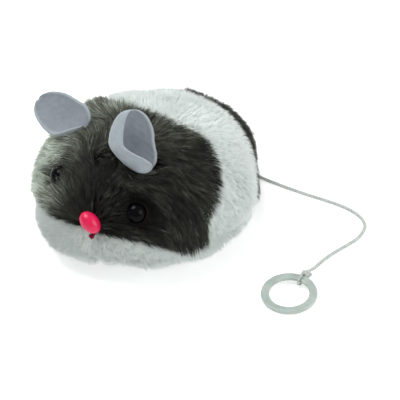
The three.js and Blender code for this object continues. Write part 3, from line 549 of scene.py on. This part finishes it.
SEGMENTS = 3
STRAND_POINTS = 3 * SEGMENTS + 1
DENSITY, QUICK_DENSITY = 9.0, 2.0  # fibres per square millimetre of the brown panels
WHITE_SHARE, UNDERSIDE_SHARE = 0.75, 0.25  # of that density
BODY_AREA = 9300
SHORTEST_FIBRE = 0.9
FLOOR_GAP = 0.15
WHITE_TONE = 0.6  # place of every white fibre on its colour ramp
PILE = {  # for each colour of plush:
    # degrees the fibre stands up from the cloth at its root and at its tip
    # its radius
    # tufts per square millimetre and how strongly a tuft draws its fibres together
    # how far its normals lean towards the body's own
    "brown": dict(stands=(64, 4), radius=0.09, tufts=(2.4, 0.5), softness=0.45),
    "white": dict(stands=(82, 40), radius=0.085, tufts=(3.0, 0.15), softness=0.85),
}


def strand_template():
    faces = [(2, 1, 0)]
    for k in range(SEGMENTS - 1):
        for s in range(3):
            t = (s + 1) % 3
            faces.append((3 * k + s, 3 * k + t, 3 * k + 3 + t, 3 * k + 3 + s))
    top = 3 * (SEGMENTS - 1)
    faces += [(top + s, top + (s + 1) % 3, STRAND_POINTS - 1) for s in range(3)]
    return faces


def strands_piece(name, paths, radius, shade, skin, softness):
    """One mesh of closed tapered fibres, whose UV map holds each fibre's shade and its root-to-tip place.
    Their normals lean towards skin, the body's own normals, so that the pile shades as one soft surface."""
    count = len(paths)
    along = normalised(np.gradient(paths, axis=1))
    side = normalised(np.cross(along, along[:, :1] + (0.31, 0.17, 0.53)))
    other = np.cross(along, side)
    taper = np.array([1.0, 0.92, 0.68])[None, :, None]
    points = np.empty((count, STRAND_POINTS, 3))
    for s in range(3):
        angle = 2 * np.pi * s / 3
        ring = math.cos(angle) * side[:, :-1] + math.sin(angle) * other[:, :-1]
        points[:, s:3 * SEGMENTS:3] = paths[:, :-1] + radius[:, None, None] * taper * ring
    points[:, -1] = paths[:, -1]
    nearest = np.repeat(paths[:, :-1], 3, axis=1)
    round_strand = np.concatenate([points[:, :-1] - nearest, along[:, -1:]], axis=1)
    normals = normalised((1 - softness) * normalised(round_strand) + softness * skin[:, None])
    template = strand_template()
    flat = np.array([i for f in template for i in f])
    sizes = np.array([len(f) for f in template])
    loops = (flat[None, :] + STRAND_POINTS * np.arange(count)[:, None]).ravel()
    totals = np.tile(sizes, count)
    mesh = bpy.data.meshes.new(name)
    mesh.vertices.add(count * STRAND_POINTS)
    mesh.vertices.foreach_set("co", (points * MM).astype(np.float32).ravel())
    mesh.loops.add(len(loops))
    mesh.loops.foreach_set("vertex_index", loops.astype(np.int32))
    mesh.polygons.add(len(totals))
    mesh.polygons.foreach_set("loop_start", np.concatenate([[0], np.cumsum(totals)[:-1]]).astype(np.int32))
    mesh.polygons.foreach_set("use_smooth", np.ones(len(totals), bool))
    mesh.update(calc_edges=True)
    u = shade[:, None] + 0.012 * (np.arange(STRAND_POINTS) % 3 - 1)[None, :]
    v = np.minimum(np.arange(STRAND_POINTS) // 3, SEGMENTS) / SEGMENTS + np.zeros((count, 1))
    uv = np.stack([np.clip(u, 0.01, 0.99), 0.02 + 0.96 * v], -1).reshape(-1, 2)
    layer = mesh.uv_layers.new(name="OFBake")
    layer.data.foreach_set("uv", uv[loops].astype(np.float32).ravel())
    mesh.normals_split_custom_set_from_vertices(normals.reshape(-1, 3).tolist())
    piece = bpy.data.objects.new(name, mesh)
    bpy.context.scene.collection.objects.link(piece)
    return piece


def scattered(count):
    """Random places on the body, evenly spread over its area."""
    rows, columns = 160, 240
    rise = np.linspace(-np.pi / 2, np.pi / 2, rows + 1)
    turn = np.linspace(-np.pi, np.pi, columns + 1)
    mid_rise = (rise[:-1] + rise[1:])[:, None] / 2 + np.zeros((1, columns))
    mid_turn = (turn[:-1] + turn[1:])[None, :] / 2 + np.zeros((rows, 1))
    step = 1e-3
    by_rise = top_of_pile(mid_rise + step, mid_turn) - top_of_pile(mid_rise - step, mid_turn)
    by_turn = top_of_pile(mid_rise, mid_turn + step) - top_of_pile(mid_rise, mid_turn - step)
    area = np.linalg.norm(np.cross(by_rise, by_turn), axis=-1).ravel()
    cell = rng.choice(len(area), count, p=area / area.sum())
    i, j = np.divmod(cell, columns)
    return (
        rise[i] + (rise[1] - rise[0]) * rng.random(count),
        turn[j] + (turn[1] - turn[0]) * rng.random(count),
    )


def lie_of_pile(p, n):
    """The way the pile is brushed: away from the nose over the face, then back and down the sides."""
    from_nose = normalised(p - np.array([2.0, -43.0, 19.0]))
    backwards = 6 * smoothstep(p[:, 2], 22, 36) - 1
    down_side = normalised(np.stack([0.3 * p[:, 0], backwards, np.full(len(p), -16.0)], -1))
    share = smoothstep(p[:, 1], -36, -24)[:, None]
    flow = (1 - share) * from_nose + share * down_side
    sway = np.stack([soft_noise(p, 15, 6), soft_noise(p, 15, 12), soft_noise(p, 15, 18)], -1)
    flow = flow + 0.3 * sway
    return normalised(flow - n * np.sum(flow * n, -1, keepdims=True))


def clumped(paths, tips_per_mm2, area, strength):
    """Draws each fibre's outer half towards the tip of the nearest fibre that leads a tuft."""
    count = len(paths)
    leaders = np.arange(min(count, max(1, int(tips_per_mm2 * area))))
    tree = kdtree.KDTree(len(leaders))
    for i in leaders:
        tree.insert(paths[i, 0], i)
    tree.balance()
    nearest = np.array([tree.find(root)[1] for root in paths[:, 0]])
    pull = (np.linspace(0, 1, SEGMENTS + 1) ** 1.4)[None, :, None] * strength
    return paths + pull * (paths[nearest] - paths), nearest


def ear_frame(ear):
    z = normalised(np.array(ear["up"], float))
    y = np.array(ear["open"], float)
    y = normalised(y - z * np.dot(y, z))
    return np.stack([np.cross(y, z), y, z]), np.array(ear["root"], float)


def under_an_ear(p):
    """True where an ear's root fills the pile."""
    hidden = np.zeros(len(p), bool)
    for ear in EARS.values():
        axes, root = ear_frame(ear)
        local = (p - root) @ axes.T
        wide = ((local[:, 0] + 0.7 * ear["pinch"]) / 4.6) ** 2 + (local[:, 1] / 2.4) ** 2
        hidden |= (wide < 1) & (np.abs(local[:, 2]) < 5)
    return hidden


def clear_of_hardware(p):
    """The share of its length a fibre keeps near the eyes, the nose and the cord's hole."""
    keep = np.ones(len(p))
    for eye in EYES.values():
        away = np.linalg.norm(p - (eye - 2.2 * outward_at(eye)), axis=1)
        keep = keep * smoothstep(away, EYE_R, EYE_R + 3.6) ** 0.7
    away = np.linalg.norm((p - NOSE_PLACE) / (NOSE_RADII + 0.4), axis=1)
    keep = keep * smoothstep(away, 0.95, 1.5) ** 0.6
    for place in (THREAD_PLACE, CORD_EXIT):
        keep = keep * smoothstep(np.linalg.norm(p - place, axis=1), 0.9, 3.0)
    return keep


def brown_tone_and_painted_light(p):
    """Each brown fibre's place on its colour ramp: a random tone with painted light and shade on it, that is
    painted rim light on the right, painted top light on the crown and painted shadow by the eyes.
    """
    # painted rim light: fibres on the right side of the head are lighter, less so high on the crown
    painted_rim_light = smoothstep(-p[:, 0], -1, 15) * (1 - 0.5 * smoothstep(p[:, 2], 31, 36))
    # the noise is random tone; the last term is painted top light, lighter fibres on the crown
    tone = 0.18 + 0.07 * soft_noise(p, 9, 3) + 0.68 * painted_rim_light + 0.16 * smoothstep(p[:, 2], 34, 38)
    # painted shadow: fibres next to each eye are darker, as in the shade of its socket
    for eye in EYES.values():
        beside = eye - (1.5 * np.sign(eye[0]), 0, 0)
        tone = tone - 0.45 * np.exp(-(np.sum((p - beside) ** 2, -1) / 6.0 ** 2) ** 2)
    return tone


def grow_fur():
    """Fibres over the whole body, sorted into one mesh for each side of each panel."""
    density = DENSITY
    rise, turn = scattered(int(density * BODY_AREA))
    p = top_of_pile(rise, turn)
    n = outward(top_of_pile, rise, turn)
    panel = panel_of(p)
    share = np.where((panel == 1) | (panel == 3), 1.0, WHITE_SHARE)
    share = np.where(n[:, 2] < -0.9, UNDERSIDE_SHARE, share)
    kept = (rng.random(len(p)) < share) & ~under_an_ear(p)
    rise, turn, p, n, panel = rise[kept], turn[kept], p[kept], n[kept], panel[kept]
    root = backing(rise, turn) - 0.25 * n
    lie = lie_of_pile(p, n)
    brown = (panel == 1) | (panel == 3)
    length = np.where(brown, BROWN_PILE, WHITE_PILE) * rng.uniform(0.78, 1.12, len(p))
    length = length * clear_of_hardware(root)
    length = length * (1 - 0.3 * np.exp(-(seam_distance(p) / SEAM_HALF_WIDTH) ** 2))
    (brown_root, brown_tip), (white_root, white_tip) = PILE["brown"]["stands"], PILE["white"]["stands"]
    lean_from = np.radians(np.where(brown, brown_root, white_root)) + rng.normal(0, 0.1, len(p))
    lean_to = np.radians(np.where(brown, brown_tip, white_tip)) + rng.normal(0, 0.2, len(p))
    flat = flat_share(n)
    lean_from, lean_to = lean_from * (1 - 0.8 * flat), lean_to * (1 - flat)
    sideways = np.cross(n, lie) * rng.normal(0, 0.16, (len(p), 1))
    lie = normalised(lie + sideways)
    paths = np.empty((len(p), SEGMENTS + 1, 3))
    paths[:, 0] = root
    for k in range(SEGMENTS):
        lean = lean_from + (lean_to - lean_from) * (k + 0.5) / SEGMENTS
        stride = (length / SEGMENTS)[:, None]
        paths[:, k + 1] = paths[:, k] + stride * (np.cos(lean)[:, None] * lie + np.sin(lean)[:, None] * n)
    long_enough = length > SHORTEST_FIBRE
    # each brown fibre's random tone together with its painted rim light, painted top light and painted shadow
    # by the eyes
    tone = brown_tone_and_painted_light(p)
    radius = np.where(brown, PILE["brown"]["radius"], PILE["white"]["radius"])
    radius = radius * rng.uniform(0.8, 1.15, len(p))
    for index, name in enumerate(PANELS):
        colour = "brown" if name in BROWN_PANELS else "white"
        pile = PILE[colour]
        for side, sign in (("left", 1), ("right", -1)):
            chosen = np.flatnonzero((panel == index) & long_enough & (sign * p[:, 0] >= 0))
            tufts, strength = pile["tufts"]
            shaped, leader = clumped(paths[chosen], tufts, len(chosen) / density, strength)
            shaped[..., 2] = np.maximum(shaped[..., 2], FLOOR_GAP)
            wobble = rng.normal(0, 0.11, len(chosen))[leader] + rng.normal(0, 0.08, len(chosen))
            shade = (tone[chosen] if colour == "brown" else WHITE_TONE) + wobble
            shade = np.clip(shade, 0.02, 0.98)
            piece = strands_piece(
                f"{name}_fur_{side}", shaped, radius[chosen], shade, n[chosen], pile["softness"],
            )
            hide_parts(name + "_pelt")
            finish_piece(piece, colour + "_fur", "mouse_body")


# ---------------------------------------------------------------- eyes, nose and ears

def facing(direction, place):
    turn = Vector((0, 0, 1)).rotation_difference(Vector(direction))
    return Matrix.Translation(Vector(place)) @ turn.to_matrix().to_4x4()


def make_eyes():
    """Polished domes on shanks, with a rounded rim."""
    dome_base, rim = 0.8, 0.35
    for side, place in EYES.items():
        out = outward_at(place)
        angles = np.linspace(0, np.pi / 2, 14)
        dome = [(EYE_R * math.cos(a), dome_base + 0.85 * EYE_R * math.sin(a)) for a in angles]
        profile = [(0, -4.5), (0.9, -4.5), (1.1, -4.3), (1.1, -0.15), (1.25, 0), (EYE_R - rim, 0)]
        for a in np.linspace(0.3, np.pi / 2, 4):
            profile.append((EYE_R - rim * (1 - math.sin(a)), rim * (1 - math.cos(a))))
        profile += dome[:-1] + [(0, dome[-1][1])]
        piece = turned_piece("eye_bead_" + side, profile, facing(out, place - EYE_SINK * out))
        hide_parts("eye_" + side)
        finish_piece(piece, "eye_black", "mouse_body")


def make_nose():
    """A moulded bead, slightly flattened where the thread goes in, and its stitch."""
    rows, columns = 40, 56
    rise = np.linspace(-np.pi / 2, np.pi / 2, rows)
    turn = np.linspace(0, 2 * np.pi, columns, endpoint=False)
    unit = np.stack([
        np.cos(rise)[:, None] * np.cos(turn), np.cos(rise)[:, None] * np.sin(turn),
        np.sin(rise)[:, None] + np.zeros(columns),
    ], -1)
    hole = normalised(np.array([0.55, -0.6, -0.75]))
    dent = np.exp(-np.sum((unit - hole) ** 2, -1) / 0.05)
    seam = 0.012 * np.exp(-(unit[..., 0] / 0.03) ** 2)
    points = unit * (1 + seam - 0.16 * dent)[..., None] * NOSE_RADII
    c, s = math.cos(NOSE_TURN), math.sin(NOSE_TURN)
    turned = points @ np.array([[c, 0, s], [0, 1, 0], [-s, 0, c]]).T + NOSE_PLACE
    body = np.concatenate([turned[1:-1].reshape(-1, 3), turned[:1, 0], turned[-1:, 0]])
    faces = grid_faces(rows - 2, columns, wrap_columns=True)
    bottom, top = len(body) - 2, len(body) - 1
    last = (rows - 3) * columns
    for j in range(columns):
        k = (j + 1) % columns
        faces += [(bottom, k, j), (top, last + j, last + k)]
    piece = new_piece("nose_pink_bead", body, faces)
    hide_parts("nose_bead")
    finish_piece(piece, "nose_pink", "mouse_body")

    start = THREAD_PLACE
    end = start + (-0.3, 3.0, 0.2)
    t = np.linspace(0, 1, 60)[:, None]
    plies = []
    for turn_from in (0, np.pi):
        a = turn_from + 22 * t
        loop = np.concatenate([np.cos(a), 0 * t, np.sin(a)], 1) * 0.28
        plies.append(tube(start + (end - start) * t + loop, 0.24, 6))
    knot_t = np.linspace(0, 2 * np.pi * 3, 90)[:, None]
    knot = np.concatenate([0.55 * np.cos(knot_t), 0.25 * np.sin(1.5 * knot_t), 0.55 * np.sin(knot_t)], 1)
    plies.append(tube(start + knot * (1 + 0.12 * np.cos(2.3 * knot_t)), 0.22, 6))
    piece = new_piece("nose_stitch", *joined(plies))
    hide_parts("nose_thread")
    finish_piece(piece, "thread_red", "mouse_body")


def ear_point(a, v, offset, pinch):
    """A point at angle a of the ear's section v, moved off the felt's middle by offset. The root is drawn
    towards the rear edge by pinch."""
    share = 0.012 + 0.985 * v
    spread = smoothstep(v, 0, 0.5)
    half_width = EAR_WIDTH / 2 * np.sqrt(1 - (2 * share - 1) ** 2)
    half_depth = EAR_ROOT_DEPTH + (EAR_DEPTH - EAR_ROOT_DEPTH) * spread
    half_depth = half_depth * (1 - 0.4 * v) * np.sqrt(1 - (0.98 * v) ** 5)
    across, deep = -np.cos(a), -np.sin(a)
    length = np.hypot(across / half_width, deep / half_depth)
    return np.stack([
        pinch * (spread - 1) + half_width * across + offset * across / half_width / length,
        half_depth * deep + offset * deep / half_depth / length,
        EAR_HEIGHT * share + 0 * a,
    ], -1)


def crowded_ends(count):
    """Values from 0 to 1 that lie closer together at both ends."""
    return (1 - np.cos(np.linspace(0, np.pi, count))) / 2


def make_ears():
    """Cupped felt with a rounded cut edge. The far side of the sheet is the hollow."""
    rows, columns = 60, 64
    for name, ear in EARS.items():
        axes, root = ear_frame(ear)
        v = crowded_ends(rows)[:, None] + np.zeros((1, columns))
        u = crowded_ends(columns)[None, :] + np.zeros((rows, 1))
        at_root, higher_up = ear["folds"]
        fold = at_root + (higher_up - at_root) * smoothstep(v, 0, 0.5)
        a = EAR_REAR_EDGE + (np.pi + fold - EAR_REAR_EDGE) * u
        middle = ear_point(a, v, 0, ear["pinch"])
        across = np.linalg.norm(np.diff(middle, axis=1), axis=-1)
        from_rear = np.concatenate([np.zeros((rows, 1)), np.cumsum(across, 1)], 1)
        rim = np.minimum(np.minimum(from_rear, from_rear[:, -1:] - from_rear), (1 - v) * EAR_HEIGHT * 0.9)
        half = EAR_FELT / 2 * np.sqrt(1 - (1 - np.clip(rim / (EAR_FELT / 2), 0, 1)) ** 2)
        ripple = 0.05 * soft_noise(middle, 2.2) + 0.12 * soft_noise(middle, 7, 9)
        back = ear_point(a, v, half + ripple, ear["pinch"]) @ axes + root
        hollow = ear_point(a, v, -half + ripple, ear["pinch"]) @ axes + root
        count = rows * columns
        faces = grid_faces(rows, columns) + grid_faces(rows, columns, start=count, flip=True)
        faces += [(j + 1, j, count + j, count + j + 1) for j in range(columns - 1)]
        points = np.concatenate([back.reshape(-1, 3), hollow.reshape(-1, 3)])
        piece = new_piece(name + "_felt", points, faces)
        # painted shade on the hollow face, fading out towards the cut edge; the back face keeps the lighter
        # felt colour
        side = piece.data.attributes.new("hollow", "FLOAT", "POINT")
        inside = np.concatenate([np.zeros(count), np.clip(rim.ravel() / 0.8, 0, 1)])
        side.data.foreach_set("value", inside.astype(np.float32))
        weld(piece, 0.00002)
        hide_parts(name)
        finish_piece(piece, "ear_felt", "mouse_body")


def weld(piece, distance):
    mesh = bmesh.new()
    mesh.from_mesh(piece.data)
    bmesh.ops.remove_doubles(mesh, verts=mesh.verts, dist=distance)
    bmesh.ops.dissolve_degenerate(mesh, edges=mesh.edges, dist=distance / 10)
    bmesh.ops.recalc_face_normals(mesh, faces=mesh.faces)
    mesh.to_mesh(piece.data)
    mesh.free()


# ---------------------------------------------------------------- cord, knot and ring

def smooth_path(points, per_span=14):
    """A Catmull-Rom curve through the points."""
    p = np.array(points, float)
    p = np.concatenate([[2 * p[0] - p[1]], p, [2 * p[-1] - p[-2]]])
    t = np.linspace(0, 1, per_span, endpoint=False)[:, None]
    spans = []
    for a, b, c, d in zip(p, p[1:], p[2:], p[3:]):
        slope_b, slope_c = 0.45 * (c - a), 0.45 * (d - b)
        spans.append(
            b + slope_b * t + (3 * (c - b) - 2 * slope_b - slope_c) * t ** 2
            + (2 * (b - c) + slope_b + slope_c) * t ** 3
        )
    return np.concatenate(spans + [p[-2:-1]])


def even(path, step):
    """The same path with evenly spaced points."""
    along = np.concatenate([[0], np.cumsum(np.linalg.norm(np.diff(path, axis=0), axis=1))])
    count = max(8, int(along[-1] / step))
    at = np.linspace(0, along[-1], count)
    return np.stack([np.interp(at, along, path[:, k]) for k in range(3)], -1)


def twisted(path, plies=3, radius=CORD_R, pitch=3.2, sides=6):
    """Plies laid round a path like a twisted cord."""
    ply_r = 0.52 * radius
    _, a, b = frames_along(path)
    along = np.concatenate([[0], np.cumsum(np.linalg.norm(np.diff(path, axis=0), axis=1))])
    parts = []
    for k in range(plies):
        angle = 2 * np.pi * (along / pitch + k / plies)
        centre = path + (radius - ply_r) * (np.cos(angle)[:, None] * a + np.sin(angle)[:, None] * b)
        parts.append(tube(centre, ply_r, sides))
    return joined(parts)


ring_low, ring_high = box_mm("pull_ring")
RING_MIDDLE_R = (RING_OUTER_R + RING_INNER_R) / 2
RING_HINGE = np.array([(ring_low[0] + ring_high[0]) / 2, -6.5, 2.2])
KNOT_PLACE = np.array([RING_HINGE[0], -3.7, 2.1])
CORD_RUN_START, CORD_BLEND_START, CORD_STRAIGHT_END = 14.0, 24.0, 37.0  # along Y, from the drum to the rump
CORD_STEP = 0.35


def make_cord():
    """The straight run that is drawn out of the body, and the loose length from there to the knot."""
    x, _, z = CORD_EXIT
    inner = even(np.array([(x, CORD_RUN_START, z), (x, CORD_STRAIGHT_END, z)]), CORD_STEP)
    piece = new_piece("cord_run", *twisted(inner))
    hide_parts("pull_cord")
    finish_piece(piece, "cord", None)
    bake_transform(piece)
    loose = [
        (x, CORD_STRAIGHT_END - 1, z), (x, 38.5, z), (8.2, 41.4, 7.4), (10.2, 40.4, 2.8), (13.6, 36.4, 0.9),
        (18, 34, 0.6), (26, 33.4, 0.6), (36, 33.5, 0.6), (46, 34, 0.6), (52.5, 33.4, 0.6), (57.2, 31.3, 0.6),
        (60, 28, 0.6), (60.8, 22.4, 0.6), (59.8, 17.4, 0.6), (58.3, 12, 0.6), (57.3, 7, 0.6),
        (57.1, 1.2, 1.1), (RING_HINGE[0], -2.2, 2.0),
    ]
    piece = new_piece("cord_tail", *twisted(even(smooth_path(loose), CORD_STEP)))
    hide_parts("pull_cord")
    finish_piece(piece, "cord", "tail")


def make_knot():
    """An overhand knot pulled tight behind the ring, the loop round the band and a short cut end."""
    t = np.linspace(0, 2 * np.pi, 160)
    across = np.sin(t) + 2 * np.sin(2 * t)
    along = np.cos(t) - 2 * np.cos(2 * t)
    trefoil = np.stack([across, along, -1.2 * np.sin(3 * t)], -1)
    tied = KNOT_PLACE + trefoil * (0.3, 0.28, 0.42)
    parts = [twisted(even(tied, 0.25), 3, 0.72, 2.4)]
    loop_angle = np.linspace(0.35, 2 * np.pi - 0.35, 80)
    loop = RING_HINGE + 1.82 * np.stack([0 * loop_angle, np.cos(loop_angle), np.sin(loop_angle)], -1)
    parts.append(twisted(loop, 3, 0.34, 1.8))
    end = smooth_path([KNOT_PLACE, KNOT_PLACE + (0.9, 0.3, 0.4), KNOT_PLACE + (1.5, 0.7, -0.1)])
    parts.append(twisted(even(end, 0.2), 3, 0.42, 2.4))
    piece = new_piece("cord_knot", *joined(parts))
    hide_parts("ring_knot")
    finish_piece(piece, "cord", "tail")


def make_ring():
    """A flat moulded ring with rounded edges."""
    half, bevel, steps = RING_THICKNESS / 2, 0.42, 5
    profile = []
    for sx, sz in ((1, -1), (1, 1), (-1, 1), (-1, -1)):
        centre_r = RING_OUTER_R - bevel if sx > 0 else RING_INNER_R + bevel
        centre_z = sz * (half - bevel)
        start = {(1, -1): -90, (1, 1): 0, (-1, 1): 90, (-1, -1): 180}[(sx, sz)]
        for a in np.radians(np.linspace(start, start + 90, steps)):
            profile.append((centre_r + bevel * math.cos(a), centre_z + bevel * math.sin(a)))
    tilt = math.asin((RING_HINGE[2] - half) / (RING_OUTER_R + RING_MIDDLE_R))
    place = Matrix.Translation(Vector(RING_HINGE)) @ Matrix.Rotation(tilt, 4, "X")
    points = []
    segments = 128
    for a in np.linspace(0, 2 * np.pi, segments, endpoint=False):
        points += [place @ Vector((r * math.cos(a), r * math.sin(a) - RING_MIDDLE_R, z)) for r, z in profile]
    faces = grid_faces(segments, len(profile), wrap_rows=True, wrap_columns=True, flip=True)
    piece = new_piece("finger_ring", np.array(points), faces)
    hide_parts("pull_ring")
    finish_piece(piece, "ring_plastic", "ring")


# ---------------------------------------------------------------- inside the body

def make_stuffing():
    """Loose fibre, from the CAD's stuffing remeshed and teased into lumps."""
    for name in ("stuffing_front", "stuffing_rear"):
        source = frame["nodes"][name]
        piece = bpy.data.objects.new(name.replace("stuffing", "fibre_fill"), source.data.copy())
        bpy.context.scene.collection.objects.link(piece)
        remesh = piece.modifiers.new("remesh", "REMESH")
        remesh.mode, remesh.voxel_size = "VOXEL", 0.0011
        evaluated = piece.evaluated_get(bpy.context.evaluated_depsgraph_get())
        mesh = bpy.data.meshes.new_from_object(evaluated)
        piece.modifiers.clear()
        piece.data = mesh
        count = len(mesh.vertices)
        points, normals = np.empty(count * 3, np.float32), np.empty(count * 3, np.float32)
        mesh.vertices.foreach_get("co", points)
        mesh.vertices.foreach_get("normal", normals)
        points, normals = points.reshape(-1, 3), normals.reshape(-1, 3)
        lumps = -0.5 + 0.4 * soft_noise(points / MM, 5) * soft_noise(points / MM, 2.6, 8)
        points = points + normals * lumps[:, None] * MM
        mesh.vertices.foreach_set("co", points.astype(np.float32).ravel())
        mesh.update()
        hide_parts(name)
        finish_piece(piece, "fibre_fill", "mouse_body")


def finish_cad_nodes():
    """The motor's parts keep their CAD shape and take the finish of their slot."""
    slots = {part["node"]: part["material_slot"] for part in frame["record"]["subparts"]}
    for name, node in frame["nodes"].items():
        if not node.hide_render:
            finish_piece(node, slots[name], None)


# ---------------------------------------------------------------- floor, light and camera

CAMERA_AZIMUTH, CAMERA_ELEVATION, CAMERA_DISTANCE = math.radians(35), math.radians(34), 460.0
LENS = 135.8
TARGET = np.array([0, 0, 20.0])
AIM_RIGHT, AIM_DOWN = 14.63, 12.96  # the object sits left of and above the middle of the frame

FLOOR_HALF = 3.0  # metres
SURROUND_LIGHT, SURROUND_SEEN = 0.6, 1.0  # the surround looks brighter than the light it gives
SOFT_LIGHTS = [  # name, place and size in metres, power, colour
    ("key", (-0.3, -0.12, 0.8), 0.5, 5.5, (1.0, 0.998, 0.99)),
    ("rim", (-0.6, 0.45, 0.35), 0.5, 1.5, (0.97, 1.0, 0.97)),
    ("fill", (0.7, 0.0, 0.4), 0.6, 3.0, (0.98, 1.0, 0.99)),
]


def make_stage():
    """A plain pale floor, three large soft lights and an even pale surround."""
    mesh = bpy.data.meshes.new("floor")
    corners = [(x * FLOOR_HALF, y * FLOOR_HALF, 0) for x, y in ((-1, -1), (1, -1), (1, 1), (-1, 1))]
    mesh.from_pydata(corners, [], [(0, 1, 2, 3)])
    floor = bpy.data.objects.new("floor", mesh)
    bpy.context.scene.collection.objects.link(floor)
    m = Nodes("floor", 0.9, Specular_IOR_Level=0.1)
    m.set(m.shader, Base_Color=(0.75, 0.75, 0.75, 1), Emission_Color=(1, 1, 1, 1), Emission_Strength=0.46)
    mesh.materials.append(m.material)
    world = bpy.data.worlds.new("studio")
    bpy.context.scene.world = world
    world.use_nodes = True
    nodes = world.node_tree.nodes
    background = nodes["Background"]
    background.inputs["Color"].default_value = (0.97, 1.0, 0.99, 1)
    seen = nodes.new("ShaderNodeMapRange")
    seen.inputs["To Min"].default_value = SURROUND_LIGHT
    seen.inputs["To Max"].default_value = SURROUND_SEEN
    world.node_tree.links.new(nodes.new("ShaderNodeLightPath").outputs["Is Camera Ray"], seen.inputs["Value"])
    world.node_tree.links.new(seen.outputs["Result"], background.inputs["Strength"])
    for light in SOFT_LIGHTS:
        add_light(*light)


def add_light(name, place, size, power, colour):
    data = bpy.data.lights.new(name, "AREA")
    data.shape, data.size, data.energy, data.color = "DISK", size, power, colour
    light = bpy.data.objects.new(name, data)
    light.location = place
    light.rotation_mode = "QUATERNION"
    light.rotation_quaternion = (Vector((0, 0, 0.02)) - Vector(place)).to_track_quat("-Z", "Y")
    bpy.context.scene.collection.objects.link(light)


def make_camera():
    a, e = CAMERA_AZIMUTH, CAMERA_ELEVATION
    back = np.array([math.sin(a) * math.cos(e), -math.cos(a) * math.cos(e), math.sin(e)])
    right = np.array([math.cos(a), math.sin(a), 0])
    up = np.cross(back, right)
    place = TARGET + CAMERA_DISTANCE * back
    aim = TARGET + AIM_RIGHT * right - AIM_DOWN * up
    data = bpy.data.cameras.new("camera")
    data.lens, data.sensor_width = LENS, 36
    camera = bpy.data.objects.new("camera", data)
    camera.location = place * MM
    camera.rotation_mode = "QUATERNION"
    camera.rotation_quaternion = Vector(aim - place).to_track_quat("-Z", "Y")
    bpy.context.scene.collection.objects.link(camera)
    bpy.context.scene.camera = camera
    bpy.context.scene.view_settings.view_transform = "Standard"


make_cloth()
grow_fur()
make_eyes()
make_nose()
make_ears()
make_cord()
make_knot()
make_ring()
make_stuffing()
finish_cad_nodes()
make_stage()
make_camera()
